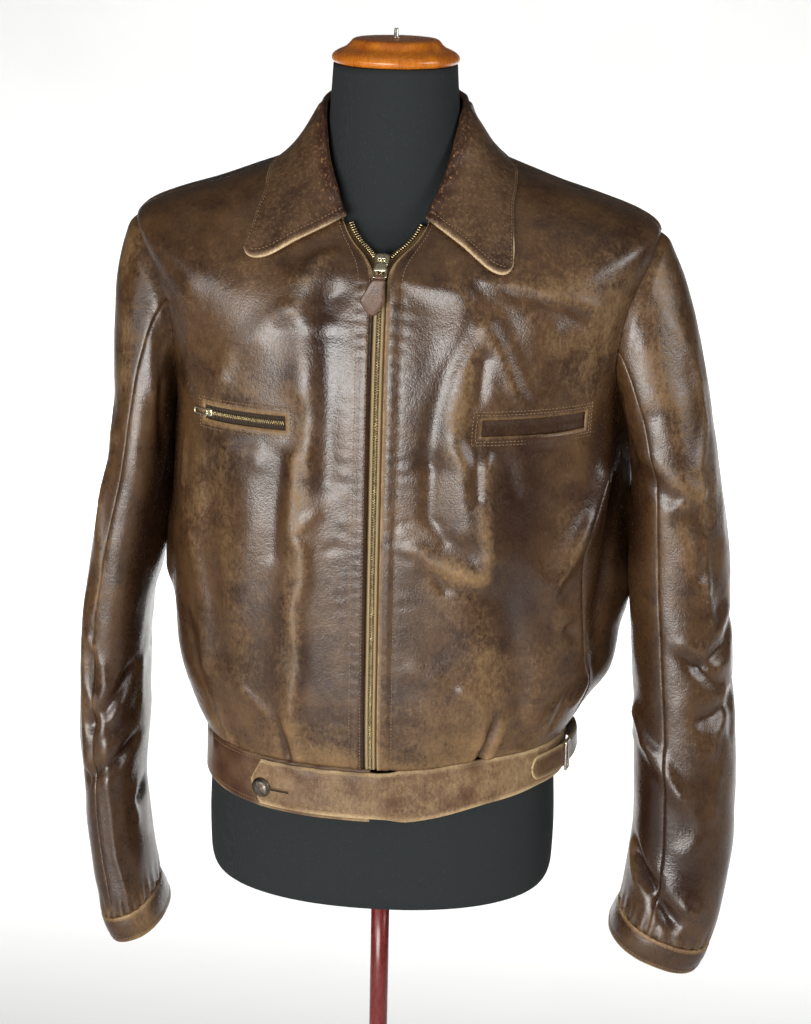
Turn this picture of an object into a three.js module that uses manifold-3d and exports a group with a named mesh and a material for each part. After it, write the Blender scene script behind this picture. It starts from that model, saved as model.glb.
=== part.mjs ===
// A worn leather zip jacket on a limbless dress form with a turned neck cap, a pole and a round foot.
// Millimetres, +Z up. The front faces -Y, +X is the viewer's right, the origin is on the floor under the pole.
// Left and right in the names are the wearer's.
import * as THREE from "three";
import { mergeVertices } from "three/addons/utils/BufferGeometryUtils.js";
import Module from "manifold-3d";

const wasm = await Module();
wasm.setup();

// Leather and gaps
const wall = 2.0;
const bandWall = 2.6;
const seam = 0.3;
const tapeGap = 0.9; // behind the leather, which is stiffer than the tape

// Jacket body, one row for each level from the waist seam (0) to the neck seam (1):
// half width, depth to the front and to the back, height at the side, front and back,
// sideways shift of the sides, middle of the depth, squareness of the ring
const levelKeys = ["half", "front", "back", "zSide", "zFront", "zBack", "shift", "mid", "square"];
const levels = [
  [0.0, 171, 121, 112, 858, 858, 858, 3, 0, 2.3],
  [0.05, 184, 128, 126, 884, 882, 886, 4, 2, 2.3],
  [0.16, 203, 134, 138, 945, 935, 945, 7, 4, 2.4],
  [0.32, 208, 135, 142, 1050, 1035, 1050, 8, 6, 2.4],
  [0.5, 203, 132, 138, 1178, 1150, 1165, 8, 8, 2.4],
  [0.63, 213, 127, 134, 1262, 1218, 1250, 8, 8, 2.4],
  [0.76, 235, 118, 122, 1338, 1270, 1335, 4, 8, 2.3],
  [0.88, 150, 108, 92, 1374, 1312, 1392, 2, 9, 2.1],
  [1.0, 69, 86, 62, 1398, 1328, 1424, 0, 10, 2.0],
].map(([v, ...sizes]) => ({ v, ...Object.fromEntries(levelKeys.map((key, i) => [key, sizes[i]])) }));
const underarm = 0.5;
const shoulderTip = 0.76;
const zipTop = 0.925;
const bodyRows = [
  0, 0.03, 0.07, 0.13, 0.2, 0.27, 0.34, 0.41, 0.46, 0.5, 0.53, 0.56, 0.6, 0.65, 0.7, 0.745, 0.76,
  0.82, 0.87, 0.9, 0.93, 0.965, 1,
];
const hemLift = 9; // the waist seam rises by this much on the wearer's left

// Front edges in millimetres from the centre front, other panel edges in degrees round, against the level
const frontEdgeStops = [[0, 6.5], [0.85, 6.5], [0.88, 7.6], [0.9, 9.2], [zipTop, 12], [0.96, 18.5], [1, 36]];
const sideSeamStops = {
  right: [[0, 80], [0.2, 76], [0.4, 80], [underarm, 88]],
  left: [[0, 80], [0.13, 69], [0.2, 61], [0.34, 56], [0.41, 64], [0.46, 77], [underarm, 88]],
};
const armholeFrontStops = [[0.53, 79.5], [0.56, 73.5], [0.6, 70], [0.65, 69.5], [0.7, 72.5], [0.745, 81]];
const armholeBackStops = [[0.53, 98], [0.56, 106], [0.6, 109], [0.65, 110], [0.7, 107], [0.745, 98]];
const shoulderSeam = 88;

// Main folds of the body: a path of [degrees round, height], its half width and how far it stands out
const bodyFolds = [
  { path: [[-19.5, 1317], [-11.5, 1261], [-13.5, 1184], [-15, 1075], [-18, 904]], width: 13, rise: 5 },
  { path: [[-9.5, 1288], [-9, 1202], [-9.5, 1131]], width: 12, rise: -3.5 },
  { path: [[-32, 1150], [-30, 1080], [-34, 1000]], width: 22, rise: 4 },
  { path: [[-46, 1120], [-44, 1040], [-40, 960]], width: 18, rise: -4 },
  { path: [[18, 1291], [14.5, 1258], [13.5, 1206], [13, 1144], [14, 1100]], width: 11, rise: 5 },
  { path: [[19, 1240], [18.5, 1120]], width: 9, rise: -3 },
  { path: [[23.5, 1162], [23.5, 1119], [24.5, 1064]], width: 10, rise: 4.5 },
  { path: [[27.5, 1035], [31.5, 988], [36.5, 929]], width: 18, rise: -7 },
  { path: [[3.5, 1076], [10.5, 1061], [27.5, 1040]], width: 10, rise: 3.5 },
  { path: [[66, 1123], [60, 1085], [51, 1062], [43, 1040]], width: 15, rise: 6 },
  { path: [[80, 1105], [72, 1060], [67, 1000], [71, 950]], width: 17, rise: -7 },
  { path: [[86, 1010], [90, 970], [88, 930]], width: 26, rise: 8 },
  { path: [[150, 1150], [146, 1000], [150, 900]], width: 22, rise: 6 },
  { path: [[168, 1180], [172, 1040], [166, 900]], width: 20, rise: -6 },
  { path: [[-150, 1130], [-148, 1000], [-154, 900]], width: 22, rise: 6 },
  { path: [[-128, 1100], [-126, 980], [-130, 900]], width: 18, rise: -5 },
];
const foldMmPerDegree = 3;

// Pleats sewn into the waist seam, in degrees round: a sharp trough beside a soft ridge
const pleats = [-51, -23, 31.5];
const pleatDepth = 4.5;
const pleatHalfWidth = 5;
const pleatTop = 925;

// Sleeves: out from the centre, depth, height, half width, half depth, tilt of the ring with its outer side up
const sleeveStations = {
  right: [
    { q: 0, x: 230, y: 6, z: 1110, half: 31, deep: 71, tilt: 28 },
    { q: 0.25, x: 247, y: 0, z: 1020, half: 31, deep: 68, tilt: 10 },
    { q: 0.45, x: 256, y: -6, z: 940, half: 31, deep: 64, tilt: 0 },
    { q: 0.62, x: 257, y: -16, z: 864, half: 32, deep: 60, tilt: -4 },
    { q: 0.8, x: 255, y: -28, z: 784, half: 27, deep: 55, tilt: -8 },
    { q: 0.93, x: 245, y: -40, z: 717, half: 28, deep: 50, tilt: -16 },
    { q: 1, x: 239, y: -46, z: 683, half: 28, deep: 48, tilt: -20 },
  ],
  left: [
    { q: 0, x: 263, y: 4, z: 1112, half: 43, deep: 66, tilt: 26 },
    { q: 0.25, x: 272, y: -2, z: 1024, half: 47, deep: 62, tilt: 10 },
    { q: 0.45, x: 279, y: -10, z: 948, half: 47, deep: 60, tilt: 0 },
    { q: 0.62, x: 286, y: -20, z: 866, half: 48, deep: 58, tilt: -4 },
    { q: 0.8, x: 289, y: -32, z: 782, half: 48, deep: 54, tilt: -8 },
    { q: 0.93, x: 283, y: -44, z: 724, half: 48, deep: 50, tilt: -16 },
    { q: 1, x: 276, y: -50, z: 692, half: 46, deep: 47, tilt: -20 },
  ],
};
const sleeveSquare = 2.3;
const sleeveFall = 0.1; // the back of each ring sits this much higher for its depth
const capLength = 0.3;
const sleeveRows = [
  -0.3, -0.265, -0.19, -0.1, 0, 0.12, 0.24, 0.35, 0.45, 0.54, 0.63, 0.72, 0.81, 0.9, 0.96, 1,
];
// The armhole rows, counted from the underarm, where the two seams of each sleeve start
const sleeveSeams = { right: { front: 4, back: 3 }, left: { front: 3, back: 3 } };
const sleeveLength = 480;
const sleeveGirth = 330;

// Main folds of the sleeves: a path of [along, round]; round is 0 at the body side, 0.25 in front, 0.5 outside
const sleeveFolds = {
  right: [
    { path: [[-0.05, 0.36], [0.35, 0.35], [0.7, 0.33]], width: 10, rise: 4 },
    { path: [[0.5, 0.12], [0.6, 0.3]], width: 9, rise: -5 },
    { path: [[0.66, 0.1], [0.72, 0.34]], width: 9, rise: -4.5 },
    { path: [[0.52, 0.7], [0.6, 0.9]], width: 10, rise: -4 },
    { path: [[0.2, 0.6], [0.45, 0.72]], width: 14, rise: -4 },
  ],
  left: [
    { path: [[0.36, 0.5], [0.42, 0.3]], width: 10, rise: -5 },
    { path: [[0.5, 0.5], [0.53, 0.3]], width: 9, rise: -4.5 },
    { path: [[0.56, 0.06], [0.68, 0.24]], width: 9, rise: 4.5 },
    { path: [[0.86, 0.08], [0.94, 0.24]], width: 10, rise: -6 },
    { path: [[0.05, 0.3], [0.3, 0.4]], width: 16, rise: -4.5 },
    { path: [[0.5, 0.65], [0.58, 0.85]], width: 10, rise: -4.5 },
  ],
};

// Cuffs
const cuffHeight = 26;
const cuffWall = 3;
const cuffProud = 0.8;
const cuffGap = 0.6;

// Collar: the share c runs from the right front end (-1) round the back (0) to the left front end (1)
const collarEnd = 32;
const standHeightStops = [[0, 33], [0.5, 44], [0.7, 38], [0.88, 19], [1, 4]];
const standLean = 8;
const collarEdge = {
  right: {
    round: [[0, 180], [0.5, 104], [0.75, 64], [0.88, 47.5], [0.95, 38], [1, 31]],
    level: [[0, 0.905], [0.5, 0.95], [0.75, 0.922], [0.88, 0.873], [0.95, 0.834], [1, 0.812]],
  },
  left: {
    round: [[0, 180], [0.5, 104], [0.75, 60.5], [0.88, 43], [0.95, 33], [1, 26.8]],
    level: [[0, 0.905], [0.5, 0.95], [0.75, 0.918], [0.88, 0.869], [0.95, 0.83], [1, 0.806]],
  },
};
const collarWall = 2.2;
const collarLift = 3.2; // the most the fall stands off the body, between roll and edge
const collarRest = 1.0; // what is left of it at the outer edge
const collarColumns = 26;
const rollOut = 6;
const collarRoll = [
  { w: 0, out: -1.5, up: 2.8 },
  { w: 0, out: 1.8, up: 3.6 },
  { w: 0.02, out: 5.4, up: 1.4 },
];
const collarRows = [0.12, 0.3, 0.52, 0.76, 0.92, 1];
const tipStart = 0.76;
const tipReach = 0.055;

// Waistband, tab, button, side strap and its buckle
const bandHeightStops = [
  [-180, 46], [-80, 45], [-30, 50], [0, 51], [20, 48], [45, 41], [62, 37], [85, 38], [125, 42], [180, 46],
];
const bandSpread = 1.5; // the band's lower edge stands this much further out
const tab = { to: -38, height: 41, drop: 2.5, point: 4.2, rise: 4 };
const button = { round: -33, drop: 29, radius: 9.5, rise: 5.2 };
const strap = { tip: 54, end: 118, height: 23, drop: 19, wall: 2.2, standOff: 9, standAt: 96 };
const buckle = { round: 76, width: 31, reach: 11, bar: 2.6 };

// Front zip
const chainHalf = 3;
const tapeUnder = 7;
const tapeShowStops = [[0, 3.6], [0.85, 3.6], [0.9, 6.2], [zipTop, 8.6], [0.96, 9], [1, 7]];
const teethShow = 2.6;
const tapeWall = 0.8;
const teethWall = 1.9;
const slider = { level: zipTop, width: 14, length: 17, thick: 3.4 };
const bail = { width: 3, length: 8.2, clear: 2.6, thick: 1.2, foot: 1.2 };
const link = { top: 10, end: 13, length: 25, bar: 1.5, thick: 1.4, eye: 5.4, slot: 8 };
const fob = { thick: 2.6, outline: [[-5.4, 0], [-16.5, -19], [-9.5, -31], [-2.5, -32], [6, -19.5], [5.4, 0]] };
const fobHang = 58; // degrees in from the link

// Pockets: a mouth cut along a line of [degrees round, height] on each front
const pockets = {
  right: { from: [-49, 1178], to: [-19, 1178.5], height: 13 },
  left: { from: [22, 1181], to: [56.5, 1182], height: 15 },
};
const pocketMargin = 5.5;
const pocketGap = 0.9; // between a front and what lies behind its pocket mouth
const pocketZip = { chain: 4.6, teeth: 1.5, at: 0.065, width: 7.4, length: 9, thick: 2.6 };
const pocketBail = { width: 2.2, length: 5.6, clear: 2.2, thick: 0.9, foot: 0.9 };
const pocketPull = { width: 6.4, length: 17, bar: 1.3, thick: 1.2 };

// Dress form, neck cap, stud, pole and foot
// rings from the bottom up: half width, depths to the front and back, heights at the side, front and back,
// middle of the depth, squareness
const formKeys = ["half", "front", "back", "zSide", "zFront", "zBack", "mid", "square"];
const formRings = [
  [150, 94, 92, 705, 705, 705, 0, 2.2],
  [161, 104, 102, 710, 710, 710, 0, 2.2],
  [165.5, 108, 106, 725, 725, 725, 0, 2.2],
  [166.5, 109, 107, 760, 760, 760, 0, 2.2],
  [164, 108, 104, 820, 820, 820, 0, 2.2],
  [152, 102, 94, 900, 900, 900, 0, 2.2],
  [156, 106, 98, 990, 985, 990, 2, 2.2],
  [170, 113, 110, 1090, 1075, 1090, 4, 2.3],
  [178, 114, 116, 1178, 1150, 1165, 8, 2.3],
  [186, 108, 112, 1258, 1214, 1246, 8, 2.3],
  [205, 99, 104, 1328, 1262, 1325, 8, 2.3],
  [186, 97, 98, 1352, 1280, 1348, 8.5, 2.25],
  [150, 90, 83, 1370.6, 1304, 1378, 9, 2.1],
  [106, 78, 66, 1382.4, 1326, 1396, 9, 2.05],
  [66, 62, 56, 1395, 1346, 1408, 6, 2.0],
  [59, 58, 56, 1412, 1380, 1422, 3, 2.0],
  [57, 57, 57, 1440, 1435, 1442, 1, 2.0],
  [54.5, 54.5, 54.5, 1477, 1477, 1477, 0, 2.0],
].map((sizes) => Object.fromEntries(formKeys.map((key, i) => [key, sizes[i]])));
const formColumns = 32;
const capProfile = [
  [0, 1477.3], [52, 1477.3], [56, 1481], [55.6, 1484.5], [50, 1489], [43, 1492.5], [39, 1496.5], [36, 1498.6],
  [0, 1499],
];
const studProfile = [
  [0, 1499.3], [3.4, 1499.3], [3.4, 1500.6], [2, 1500.8], [2, 1507], [1.4, 1507.8], [0, 1507.8],
];
const poleRadius = 9;
const footRadius = 190;
const footProfile = [
  [0, 0], [footRadius - 6, 0], [footRadius, 5], [footRadius, 15], [footRadius - 6, 21],
  [70, 28], [24, 44], [0, 44],
];
const formBottom = 705;
const footTop = 44;

// Finishes
const finish = (color, roughness, metalness = 0) => (
  new THREE.MeshStandardMaterial({ color, roughness, metalness }));
const leather = finish(0x4a3427, 0.42);
const wornLeather = finish(0x6b4f38, 0.5);
const tapeCloth = finish(0x3a2f26, 0.9);
const brass = finish(0xa98a4c, 0.35, 1);
const steel = finish(0x9a9a94, 0.3, 1);
const jersey = finish(0x23282a, 0.95);
const capWood = finish(0xb9651f, 0.25);
const poleWood = finish(0x6e2422, 0.35);

const part = new THREE.Group();
const vec = (x, y, z) => new THREE.Vector3(x, y, z);
const rad = THREE.MathUtils.degToRad;
const signs = { right: -1, left: 1 };
const smooth = (t) => THREE.MathUtils.smoothstep(t, 0, 1);

function add(name, geometry, material, parent = part) {
  const mesh = new THREE.Mesh(geometry, material);
  mesh.name = name;
  parent.add(mesh);
  return mesh;
}

// A smooth curve through [position, value] stops that never overshoots them
function track(stops) {
  const last = stops.length - 1;
  const slopes = stops.slice(1).map((stop, i) => (stop[1] - stops[i][1]) / (stop[0] - stops[i][0]));
  const tangents = stops.map((stop, i) => {
    if (i === 0) return slopes[0];
    if (i === last) return slopes[last - 1];
    if (slopes[i - 1] * slopes[i] <= 0) return 0;
    const before = stop[0] - stops[i - 1][0];
    const after = stops[i + 1][0] - stop[0];
    return 3 * (before + after) / ((2 * after + before) / slopes[i - 1] + (after + 2 * before) / slopes[i]);
  });
  return (position) => {
    const t = THREE.MathUtils.clamp(position, stops[0][0], stops[last][0]);
    let i = 0;
    while (i < last - 1 && t > stops[i + 1][0]) i += 1;
    const span = stops[i + 1][0] - stops[i][0];
    const s = (t - stops[i][0]) / span;
    const rest = 1 - s;
    return (1 + 2 * s) * rest * rest * stops[i][1] + s * rest * rest * span * tangents[i]
      + s * s * (3 - 2 * s) * stops[i + 1][1] - s * s * rest * span * tangents[i + 1];
  };
}

const tracksOf = (rows, at, keys) => Object.fromEntries(
  keys.map((key) => [key, track(rows.map((row) => [row[at], row[key]]))]));

const power = (value, exponent) => Math.sign(value) * Math.abs(value) ** exponent;

// A point of a ring: a squared-off ellipse with its own front and back depths and heights
function ringPoint(ring, theta) {
  const s = Math.sin(theta);
  const c = Math.cos(theta);
  const exponent = 2 / ring.square;
  const side = s * s;
  const deep = c > 0 ? ring.front : ring.back;
  const high = c > 0 ? ring.zFront : ring.zBack;
  return vec(
    (ring.shift ?? 0) * side + ring.half * power(s, exponent),
    ring.mid - deep * power(c, exponent),
    ring.zSide * side + high * (1 - side));
}

// Height of the folds at a place given in millimetres: each fold fades away from its path as a bell curve
function foldHeight(folds, across, along) {
  let height = 0;
  for (const fold of folds) {
    let nearest = Infinity;
    for (let i = 0; i + 1 < fold.mm.length; i += 1) {
      const [ax, ay] = fold.mm[i];
      const [bx, by] = fold.mm[i + 1];
      const length = (bx - ax) ** 2 + (by - ay) ** 2;
      const [dx, dy] = [bx - ax, by - ay];
      const share = THREE.MathUtils.clamp(((across - ax) * dx + (along - ay) * dy) / length, 0, 1);
      nearest = Math.min(nearest, (across - ax - share * dx) ** 2 + (along - ay - share * dy) ** 2);
    }
    height += fold.rise * Math.exp(-nearest / fold.width ** 2);
  }
  return height;
}

const inMm = (folds, acrossScale, alongScale) => folds.map((fold) => (
  { ...fold, mm: fold.path.map(([a, b]) => [a * acrossScale, b * alongScale]) }));

// Unit normal of a surface of two parameters, from its central differences
function normalOf(surface, a, b, stepA, stepB, flip = 1) {
  const alongA = surface(a + stepA, b).sub(surface(a - stepA, b));
  const alongB = surface(a, b + stepB).sub(surface(a, b - stepB));
  return alongA.cross(alongB).normalize().multiplyScalar(flip);
}

// Jacket body
const levelTracks = tracksOf(levels, "v", levelKeys);
const ringAt = (v) => Object.fromEntries(levelKeys.map((key) => [key, levelTracks[key](v)]));
const liftShare = (degrees, v) => (
  smooth(1 - v / 0.2) * smooth((degrees - 6) / 30) * smooth((160 - degrees) / 60));
const plainBody = (degrees, v) => (
  ringPoint(ringAt(v), rad(degrees)).add(vec(0, 0, hemLift * liftShare(degrees, v))));
const inside = (v) => THREE.MathUtils.clamp(v, 0.004, 0.996);
const plainNormal = (degrees, v) => normalOf(plainBody, degrees, inside(v), 0.4, 0.004);
const bodyFoldsMm = inMm(bodyFolds, foldMmPerDegree, 1);

function pleatRelief(degrees, z) {
  const fade = smooth((pleatTop - z) / 40) * smooth((z - levels[0].zSide) / 8);
  if (fade === 0) return 0;
  let height = 0;
  for (const at of pleats) {
    const wide = (degrees - at) * foldMmPerDegree / pleatHalfWidth;
    height -= pleatDepth * fade * Math.exp(-(wide ** 2));
    height += 0.5 * pleatDepth * fade * Math.exp(-(((wide - 2.2) / 1.4) ** 2));
  }
  return height;
}

// Folds die out along the zip and round the pocket mouths, where the leather is sewn flat
function flatness(across, z) {
  let flat = smooth((Math.abs(across) - 5) / 22);
  for (const { from, to, height } of Object.values(pockets)) {
    const [low, high] = [from[0], to[0]].map((degrees) => degrees * foldMmPerDegree);
    const beside = Math.max(low - across, across - high, 0);
    const above = Math.max(Math.abs(z - (from[1] + to[1]) / 2) - height / 2, 0);
    flat *= smooth((Math.hypot(beside, above) - 8) / 22);
  }
  return flat;
}

// The body's outer surface with its folds; degrees run past 180 on the back
function body(degrees, v) {
  const point = plainBody(degrees, v);
  const round = degrees > 180 ? degrees - 360 : degrees;
  const calm = smooth(v / 0.04) * smooth((0.97 - v) / 0.1) * flatness(round * foldMmPerDegree, point.z);
  const relief = foldHeight(bodyFoldsMm, round * foldMmPerDegree, point.z) * calm + pleatRelief(round, point.z);
  return point.addScaledVector(plainNormal(degrees, v), relief);
}

const bodyNormal = (degrees, v) => normalOf(body, degrees, inside(v), 0.4, 0.004);
const bodySpeed = (degrees, v) => body(degrees + 0.2, v).distanceTo(body(degrees - 0.2, v)) / 0.4;

const frontGap = track(frontEdgeStops);
const degreesAt = (x, v) => {
  const ring = ringAt(v);
  return THREE.MathUtils.radToDeg(Math.asin((x / ring.half) ** (ring.square / 2)));
};
const frontEdge = (v) => degreesAt(frontGap(v), v);
const sideSeam = { right: track(sideSeamStops.right), left: track(sideSeamStops.left) };
const armholeFront = track([[underarm, 88], ...armholeFrontStops, [shoulderTip, shoulderSeam]]);
const armholeBack = track([[underarm, 88], ...armholeBackStops, [shoulderTip, shoulderSeam]]);
function outerEdge(side, armhole, v) {
  if (v <= underarm) return sideSeam[side](v);
  return v < shoulderTip ? armhole(v) : shoulderSeam;
}

// Closed wall from a grid of outer points and normals: rows of columns, thick towards the inside
function wallGeometry(points, normals, thickness, closedRound = false) {
  const rows = points.length;
  const columns = points[0].length;
  const position = [];
  for (const depth of [0, 1]) {
    for (let j = 0; j < rows; j += 1) {
      for (let i = 0; i < columns; i += 1) {
        const p = points[j][i].clone().addScaledVector(normals[j][i], -thickness * depth);
        position.push(p.x, p.y, p.z);
      }
    }
  }
  const index = [];
  const at = (depth, j, i) => depth * rows * columns + j * columns + (i % columns);
  const quad = (a, b, c, d) => index.push(a, b, c, a, c, d);
  const lastColumn = closedRound ? columns : columns - 1;
  for (let j = 0; j + 1 < rows; j += 1) {
    for (let i = 0; i < lastColumn; i += 1) {
      quad(at(0, j, i), at(0, j, i + 1), at(0, j + 1, i + 1), at(0, j + 1, i));
      quad(at(1, j, i), at(1, j + 1, i), at(1, j + 1, i + 1), at(1, j, i + 1));
    }
    if (!closedRound) {
      quad(at(0, j, 0), at(0, j + 1, 0), at(1, j + 1, 0), at(1, j, 0));
      quad(at(0, j, lastColumn), at(1, j, lastColumn), at(1, j + 1, lastColumn), at(0, j + 1, lastColumn));
    }
  }
  for (let i = 0; i < lastColumn; i += 1) {
    quad(at(0, 0, i), at(1, 0, i), at(1, 0, i + 1), at(0, 0, i + 1));
    quad(at(0, rows - 1, i), at(0, rows - 1, i + 1), at(1, rows - 1, i + 1), at(1, rows - 1, i));
  }
  return facingOut(position, index);
}

// Turns every triangle round when the closed mesh is inside out
function facingOut(position, index) {
  let volume = 0;
  const corner = (k) => vec(position[3 * k], position[3 * k + 1], position[3 * k + 2]);
  for (let k = 0; k < index.length; k += 3) {
    volume += corner(index[k]).dot(corner(index[k + 1]).cross(corner(index[k + 2])));
  }
  if (volume < 0) {
    for (let k = 0; k < index.length; k += 3) [index[k + 1], index[k + 2]] = [index[k + 2], index[k + 1]];
  }
  const geometry = new THREE.BufferGeometry();
  geometry.setAttribute("position", new THREE.Float32BufferAttribute(position, 3));
  geometry.setIndex(index);
  return geometry;
}

// A wall over the body between two edges
function bodyWall(rows, shares, fromEdge, toEdge, thickness) {
  const points = [];
  const normals = [];
  for (const v of rows) {
    const from = fromEdge(v);
    const to = toEdge(v);
    const angles = shares.map((share) => from + share * (to - from));
    normals.push(angles.map((degrees) => bodyNormal(degrees, v)));
    points.push(angles.map((degrees) => body(degrees, v)));
  }
  return wallGeometry(points, normals, thickness);
}

const evenly = (count) => Array.from({ length: count + 1 }, (_, i) => i / count);
const between = (from, to, count) => evenly(count).map((share) => from + share * (to - from));

function toSolid(geometry) {
  const bare = geometry.clone();
  bare.deleteAttribute("normal");
  bare.deleteAttribute("uv");
  const merged = mergeVertices(bare, 1e-4);
  return new wasm.Manifold(new wasm.Mesh({
    numProp: 3,
    vertProperties: new Float32Array(merged.attributes.position.array),
    triVerts: new Uint32Array(merged.index.array),
  }));
}

function toGeometry(solid) {
  const mesh = solid.getMesh();
  const geometry = new THREE.BufferGeometry();
  geometry.setAttribute("position", new THREE.BufferAttribute(new Float32Array(mesh.vertProperties), 3));
  geometry.setIndex(new THREE.BufferAttribute(new Uint32Array(mesh.triVerts), 1));
  return geometry;
}

function levelAtHeight(degrees, z) {
  let low = 0;
  let high = 1;
  for (let i = 0; i < 40; i += 1) {
    const middle = (low + high) / 2;
    if (body(degrees, middle).z < z) low = middle;
    else high = middle;
  }
  return (low + high) / 2;
}

// Place along a pocket's mouth: share along it and millimetres up from its line
function pocketPlace(pocket, share, up) {
  const degrees = THREE.MathUtils.lerp(pocket.from[0], pocket.to[0], share);
  const v = levelAtHeight(degrees, THREE.MathUtils.lerp(pocket.from[1], pocket.to[1], share) + up);
  return { point: body(degrees, v), normal: bodyNormal(degrees, v) };
}

// A strip along a pocket between two heights, from one depth under the front's surface for its thickness
function pocketStrip(pocket, shares, low, high, out, thickness) {
  const points = [];
  const normals = [];
  for (const up of [low, (low + high) / 2, high]) {
    const places = shares.map((share) => pocketPlace(pocket, share, up));
    normals.push(places.map((place) => place.normal));
    points.push(places.map((place) => place.point.clone().addScaledVector(place.normal, out)));
  }
  return wallGeometry(points, normals, thickness);
}

// Fronts, each with its pocket mouth cut through
const frontColumns = 12;
const pleatSpread = [-6, -2.5, 0.5, 4.5, 10];
function frontShares(side) {
  const shares = evenly(frontColumns);
  const nearPleat = pleats.filter((at) => Math.sign(at) === signs[side] && Math.abs(at) < 80);
  const span = sideSeam[side](0) - frontEdge(0);
  const extra = nearPleat.flatMap((at) => pleatSpread.map((mm) => (
    (Math.abs(at) - frontEdge(0) + signs[side] * mm / foldMmPerDegree) / span)));
  const crowded = (share) => extra.some((other) => Math.abs(other - share) < 0.02);
  return [...shares.filter((share) => !crowded(share)), ...extra].sort((a, b) => a - b);
}

function buildFronts() {
  for (const side of ["right", "left"]) {
    const sign = signs[side];
    const trimmed = (v) => {
      const edge = outerEdge(side, armholeFront, v);
      return sign * (edge - seam / bodySpeed(sign * edge, v));
    };
    let [from, to] = [(v) => sign * frontEdge(v), trimmed];
    let shares = frontShares(side);
    if (sign < 0) {
      [from, to] = [to, from];
      shares = shares.map((share) => 1 - share).reverse();
    }
    const panel = toSolid(bodyWall(bodyRows, shares, from, to, wall));
    const pocket = pockets[side];
    const half = pocket.height / 2;
    const cutter = toSolid(pocketStrip(pocket, between(0, 1, 10), -half, half, 3, wall + 6));
    add(`front_${side}`, toGeometry(panel.subtract(cutter)), leather);
  }
}

function buildBack() {
  const edge = (side) => (v) => {
    const degrees = outerEdge(side, armholeBack, v);
    return degrees + seam / bodySpeed(signs[side] * degrees, v);
  };
  const rightEdge = edge("right");
  const geometry = bodyWall(bodyRows, evenly(22), edge("left"), (v) => 360 - rightEdge(v), wall);
  add("back", geometry, leather);
}

// Sleeves
const sleeveKeys = ["x", "y", "z", "half", "deep", "tilt"];
const sleeveTracks = {
  right: tracksOf(sleeveStations.right, "q", sleeveKeys),
  left: tracksOf(sleeveStations.left, "q", sleeveKeys),
};
const sleeveFoldsMm = {
  right: inMm(sleeveFolds.right, sleeveLength, sleeveGirth),
  left: inMm(sleeveFolds.left, sleeveLength, sleeveGirth),
};

// The armhole's rows, and points between them, as shares round: 0 underarm, 0.25 front, 0.5 shoulder, 0.75 back
const armholeRows = bodyRows.filter((v) => v >= underarm && v <= shoulderTip);
const rowShare = (v) => 0.5 * (v - underarm) / (shoulderTip - underarm);
const halfRound = armholeRows.flatMap((v, i) => (
  i > 1 && i < 6
    ? [rowShare(v), (rowShare(v) + rowShare(armholeRows[i + 1])) / 2]
    : [rowShare(v)]));
const roundShares = [...halfRound, ...halfRound.slice(0, -1).reverse().map((t) => 1 - t)];

// The armhole as the panels' straight edges give it
function armholeAt(side, t) {
  const front = t <= 0.5;
  const share = front ? t : 1 - t;
  const v = underarm + 2 * share * (shoulderTip - underarm);
  let i = 0;
  while (i + 2 < armholeRows.length && v > armholeRows[i + 1]) i += 1;
  const mix = (v - armholeRows[i]) / (armholeRows[i + 1] - armholeRows[i]);
  const edge = front ? armholeFront : armholeBack;
  const degrees = (level) => signs[side] * outerEdge(side, edge, level);
  const [a, b] = [armholeRows[i], armholeRows[i + 1]];
  return {
    point: body(degrees(a), a).lerp(body(degrees(b), b), mix),
    normal: bodyNormal(degrees(a), a).lerp(bodyNormal(degrees(b), b), mix).normalize(),
  };
}

function sleeveRing(side, q, t) {
  const at = Object.fromEntries(sleeveKeys.map((key) => [key, sleeveTracks[side][key](q)]));
  const out = power(-Math.cos(2 * Math.PI * t), 2 / sleeveSquare);
  const deep = power(-Math.sin(2 * Math.PI * t), 2 / sleeveSquare);
  return vec(
    signs[side] * (at.x + at.half * out * Math.cos(rad(at.tilt))),
    at.y + at.deep * deep,
    at.z + at.half * out * Math.sin(rad(at.tilt)) + at.deep * deep * sleeveFall);
}

// The way the sleeve head leaves the armhole
function headDirection(side, t) {
  const top = (1 - Math.cos(2 * Math.PI * t)) / 2;
  return vec(signs[side] * (26 + 84 * top), -46 * Math.sin(2 * Math.PI * t), -(66 + 48 * top));
}

// Sleeve without folds: a smooth head from the armhole to the first ring, then rings down to the cuff
function plainSleeve(side, q, t) {
  if (q >= 0) return sleeveRing(side, q, t);
  const k = (q + capLength) / capLength;
  const rest = 1 - k;
  const first = sleeveRing(side, 0, t);
  const leaving = sleeveRing(side, 0.02, t).sub(first).multiplyScalar(capLength / 0.02);
  return armholeAt(side, t).point.multiplyScalar((1 + 2 * k) * rest * rest)
    .addScaledVector(headDirection(side, t), k * rest * rest)
    .addScaledVector(first, k * k * (3 - 2 * k))
    .addScaledVector(leaving, -k * k * rest);
}

const plainSleeveNormal = (side, q, t) => normalOf(
  (a, b) => plainSleeve(side, Math.max(a, -capLength), (b + 1) % 1), q, t, 0.01, 0.012, signs[side]);

function sleeve(side, q, t) {
  const point = plainSleeve(side, q, t);
  const calm = smooth((q + capLength) / 0.2) * smooth((1 - q) / 0.05);
  const relief = foldHeight(sleeveFoldsMm[side], q * sleeveLength, t * sleeveGirth) * calm;
  return point.addScaledVector(plainSleeveNormal(side, q, t), relief);
}

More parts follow.
